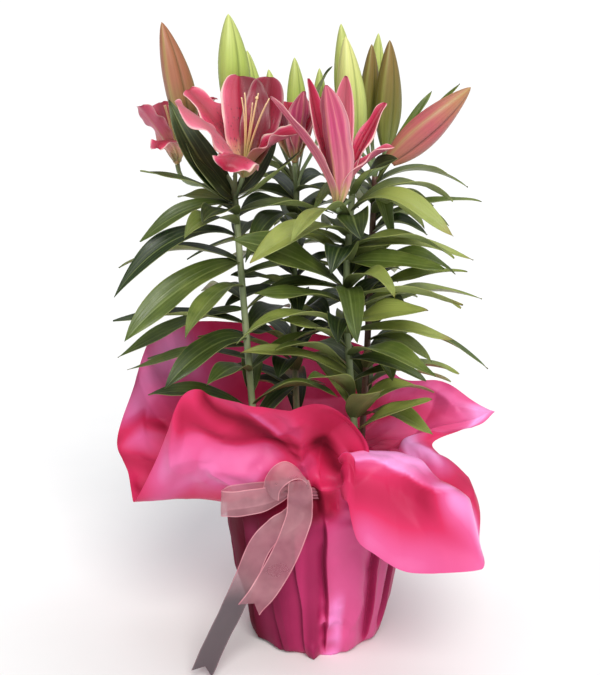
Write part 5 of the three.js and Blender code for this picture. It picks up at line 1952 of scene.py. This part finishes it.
def soil_piece():
    """Crumbled peat: a disc with a rough top on the plain body of the soil."""
    low = POT_FOOT + POT_FLOOR + GAP
    foot = POT_FOOT_RADIUS - POT_WALL - 2 * GAP
    wider = POT_SHOULDER_RADIUS - POT_FOOT_RADIUS
    brim = foot + wider * (SOIL_TOP - low) / (POT_SHOULDER - POT_FOOT - POT_FLOOR)
    angles = round_angles(SOIL_SIDES)
    radii = (np.linspace(0, 1, SOIL_RINGS)[1:] * brim)[:, None]
    domed = np.repeat(SOIL_TOP + SOIL_CROWN * (1 - (radii / brim) ** 2), SOIL_SIDES, 1)
    top = np.stack([radii * np.cos(angles), radii * np.sin(angles), domed], -1)
    crumbs = sum(height * noise_at(top, scale, octaves) for scale, octaves, height in SOIL_CRUMBS)
    top[..., 2] += np.minimum(crumbs * (1 - (radii / brim) ** 8), CRUMB_HIGHEST)
    wall = np.stack([foot * np.cos(angles), foot * np.sin(angles), np.full(SOIL_SIDES, low)], -1)
    rings = np.concatenate([wall[None], top[::-1]])
    points = np.concatenate([[[0, 0, low]], rings.reshape(-1, 3), [[0, 0, SOIL_TOP + SOIL_CROWN]]])
    last = 1 + (SOIL_RINGS - 1) * SOIL_SIDES
    turns = [(k, (k + 1) % SOIL_SIDES) for k in range(SOIL_SIDES)]
    faces = [(0, 1 + after, 1 + k) for k, after in turns]
    faces += grid_faces(SOIL_RINGS, SOIL_SIDES, True, 1)
    faces += [(last + k, last + after, len(points) - 1) for k, after in turns]
    make_piece("peat_soil", "potting_soil", points, faces, SOIL)


# Floor, lights and camera, in millimetres, the lights' places in metres. A light has its place, power,
# angle in degrees and colour.
CAMERA = (-15, -1150, 600)
CAMERA_PITCH = 14.87
CAMERA_LENS = 68.53
SENSOR = 36
FLOOR_SIZE = 800000
SKY = {"From Min": -0.3, "From Max": 1.0, "To Min": 0.15, "To Max": 0.45}
SKY_COLOUR = (0.93, 0.95, 1.0, 1)
LIGHTS = {
    "key": [(0.15, -0.95, 1.15), 2.75, 34, (1.0, 0.99, 0.97)],
    "top": [(0.3, 0.3, 1.8), 1.15, 60, (0.9, 0.94, 1.0)],
}
LIGHTS_AIM = (0, 0, 0.3)


def studio():
    side = FLOOR_SIZE / 2
    corners = [(-side, -side, 0), (side, -side, 0), (side, side, 0), (-side, side, 0)]
    make_mesh("floor", corners, [(0, 1, 2, 3)], floor_material())
    world = bpy.data.worlds.new("studio")
    world.use_nodes = True
    nodes, links = world.node_tree.nodes, world.node_tree.links
    height = nodes.new("ShaderNodeSeparateXYZ")
    links.new(nodes.new("ShaderNodeTexCoord").outputs["Generated"], height.inputs[0])
    sky = nodes.new("ShaderNodeMapRange")
    for key, value in SKY.items():
        sky.inputs[key].default_value = value
    links.new(height.outputs["Z"], sky.inputs["Value"])
    background = nodes["Background"]
    background.inputs["Color"].default_value = SKY_COLOUR
    links.new(sky.outputs["Result"], background.inputs["Strength"])
    bpy.context.scene.world = world
    for name, (place, power, angle, colour) in LIGHTS.items():
        light = bpy.data.lights.new(name, "SUN")
        light.energy = power
        light.angle = math.radians(angle)
        light.color = colour
        lamp = add_object(name, light)
        lamp.location = place
        aim = Vector(LIGHTS_AIM) - Vector(place)
        lamp.rotation_euler = aim.to_track_quat("-Z", "Y").to_euler()
    lens = bpy.data.cameras.new("camera")
    lens.sensor_fit = "AUTO"
    lens.sensor_width = SENSOR
    lens.lens = CAMERA_LENS
    camera = add_object("camera", lens)
    camera.location = [v * MM for v in CAMERA]
    camera.rotation_euler = (math.radians(90 - CAMERA_PITCH), 0, 0)
    bpy.context.scene.camera = camera
    bpy.context.scene.view_settings.view_transform = "Standard"


FILM_PINK = film_material()
ORGANZA = ribbon_material("organza", 0.5)
ORGANZA_THICK = ribbon_material("organza folded", 0.66, (176, 96, 118), (198, 126, 142))
LEAF = leaf_material()
PETAL = {state: petal_material(state) for state in PETAL_OUTSIDE}
BUD_SKIN = {kind: bud_material(kind) for kind in BUD_COLOURS}
STAMEN = stamen_material()
SOIL = soil_material()

studio()
film_piece()
tie_piece()
knot_piece()
band_piece("ribbon_loop_left")
arch_piece("ribbon_loop_upper")
band_piece("ribbon_tail_front")
band_piece("ribbon_tail_back")
soil_piece()
for index, name in enumerate(STEMS):
    leafy_stem(name, index)
for index, (name, bloom) in enumerate(BLOOMS.items()):
    bloom_piece(name, bloom, index)
    stamen_piece(name, bloom)
for name, bud in BUDS.items():
    bud_piece(name, bud)
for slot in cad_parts["nursery_pot"].material_slots:
    slot.material = pot_material()
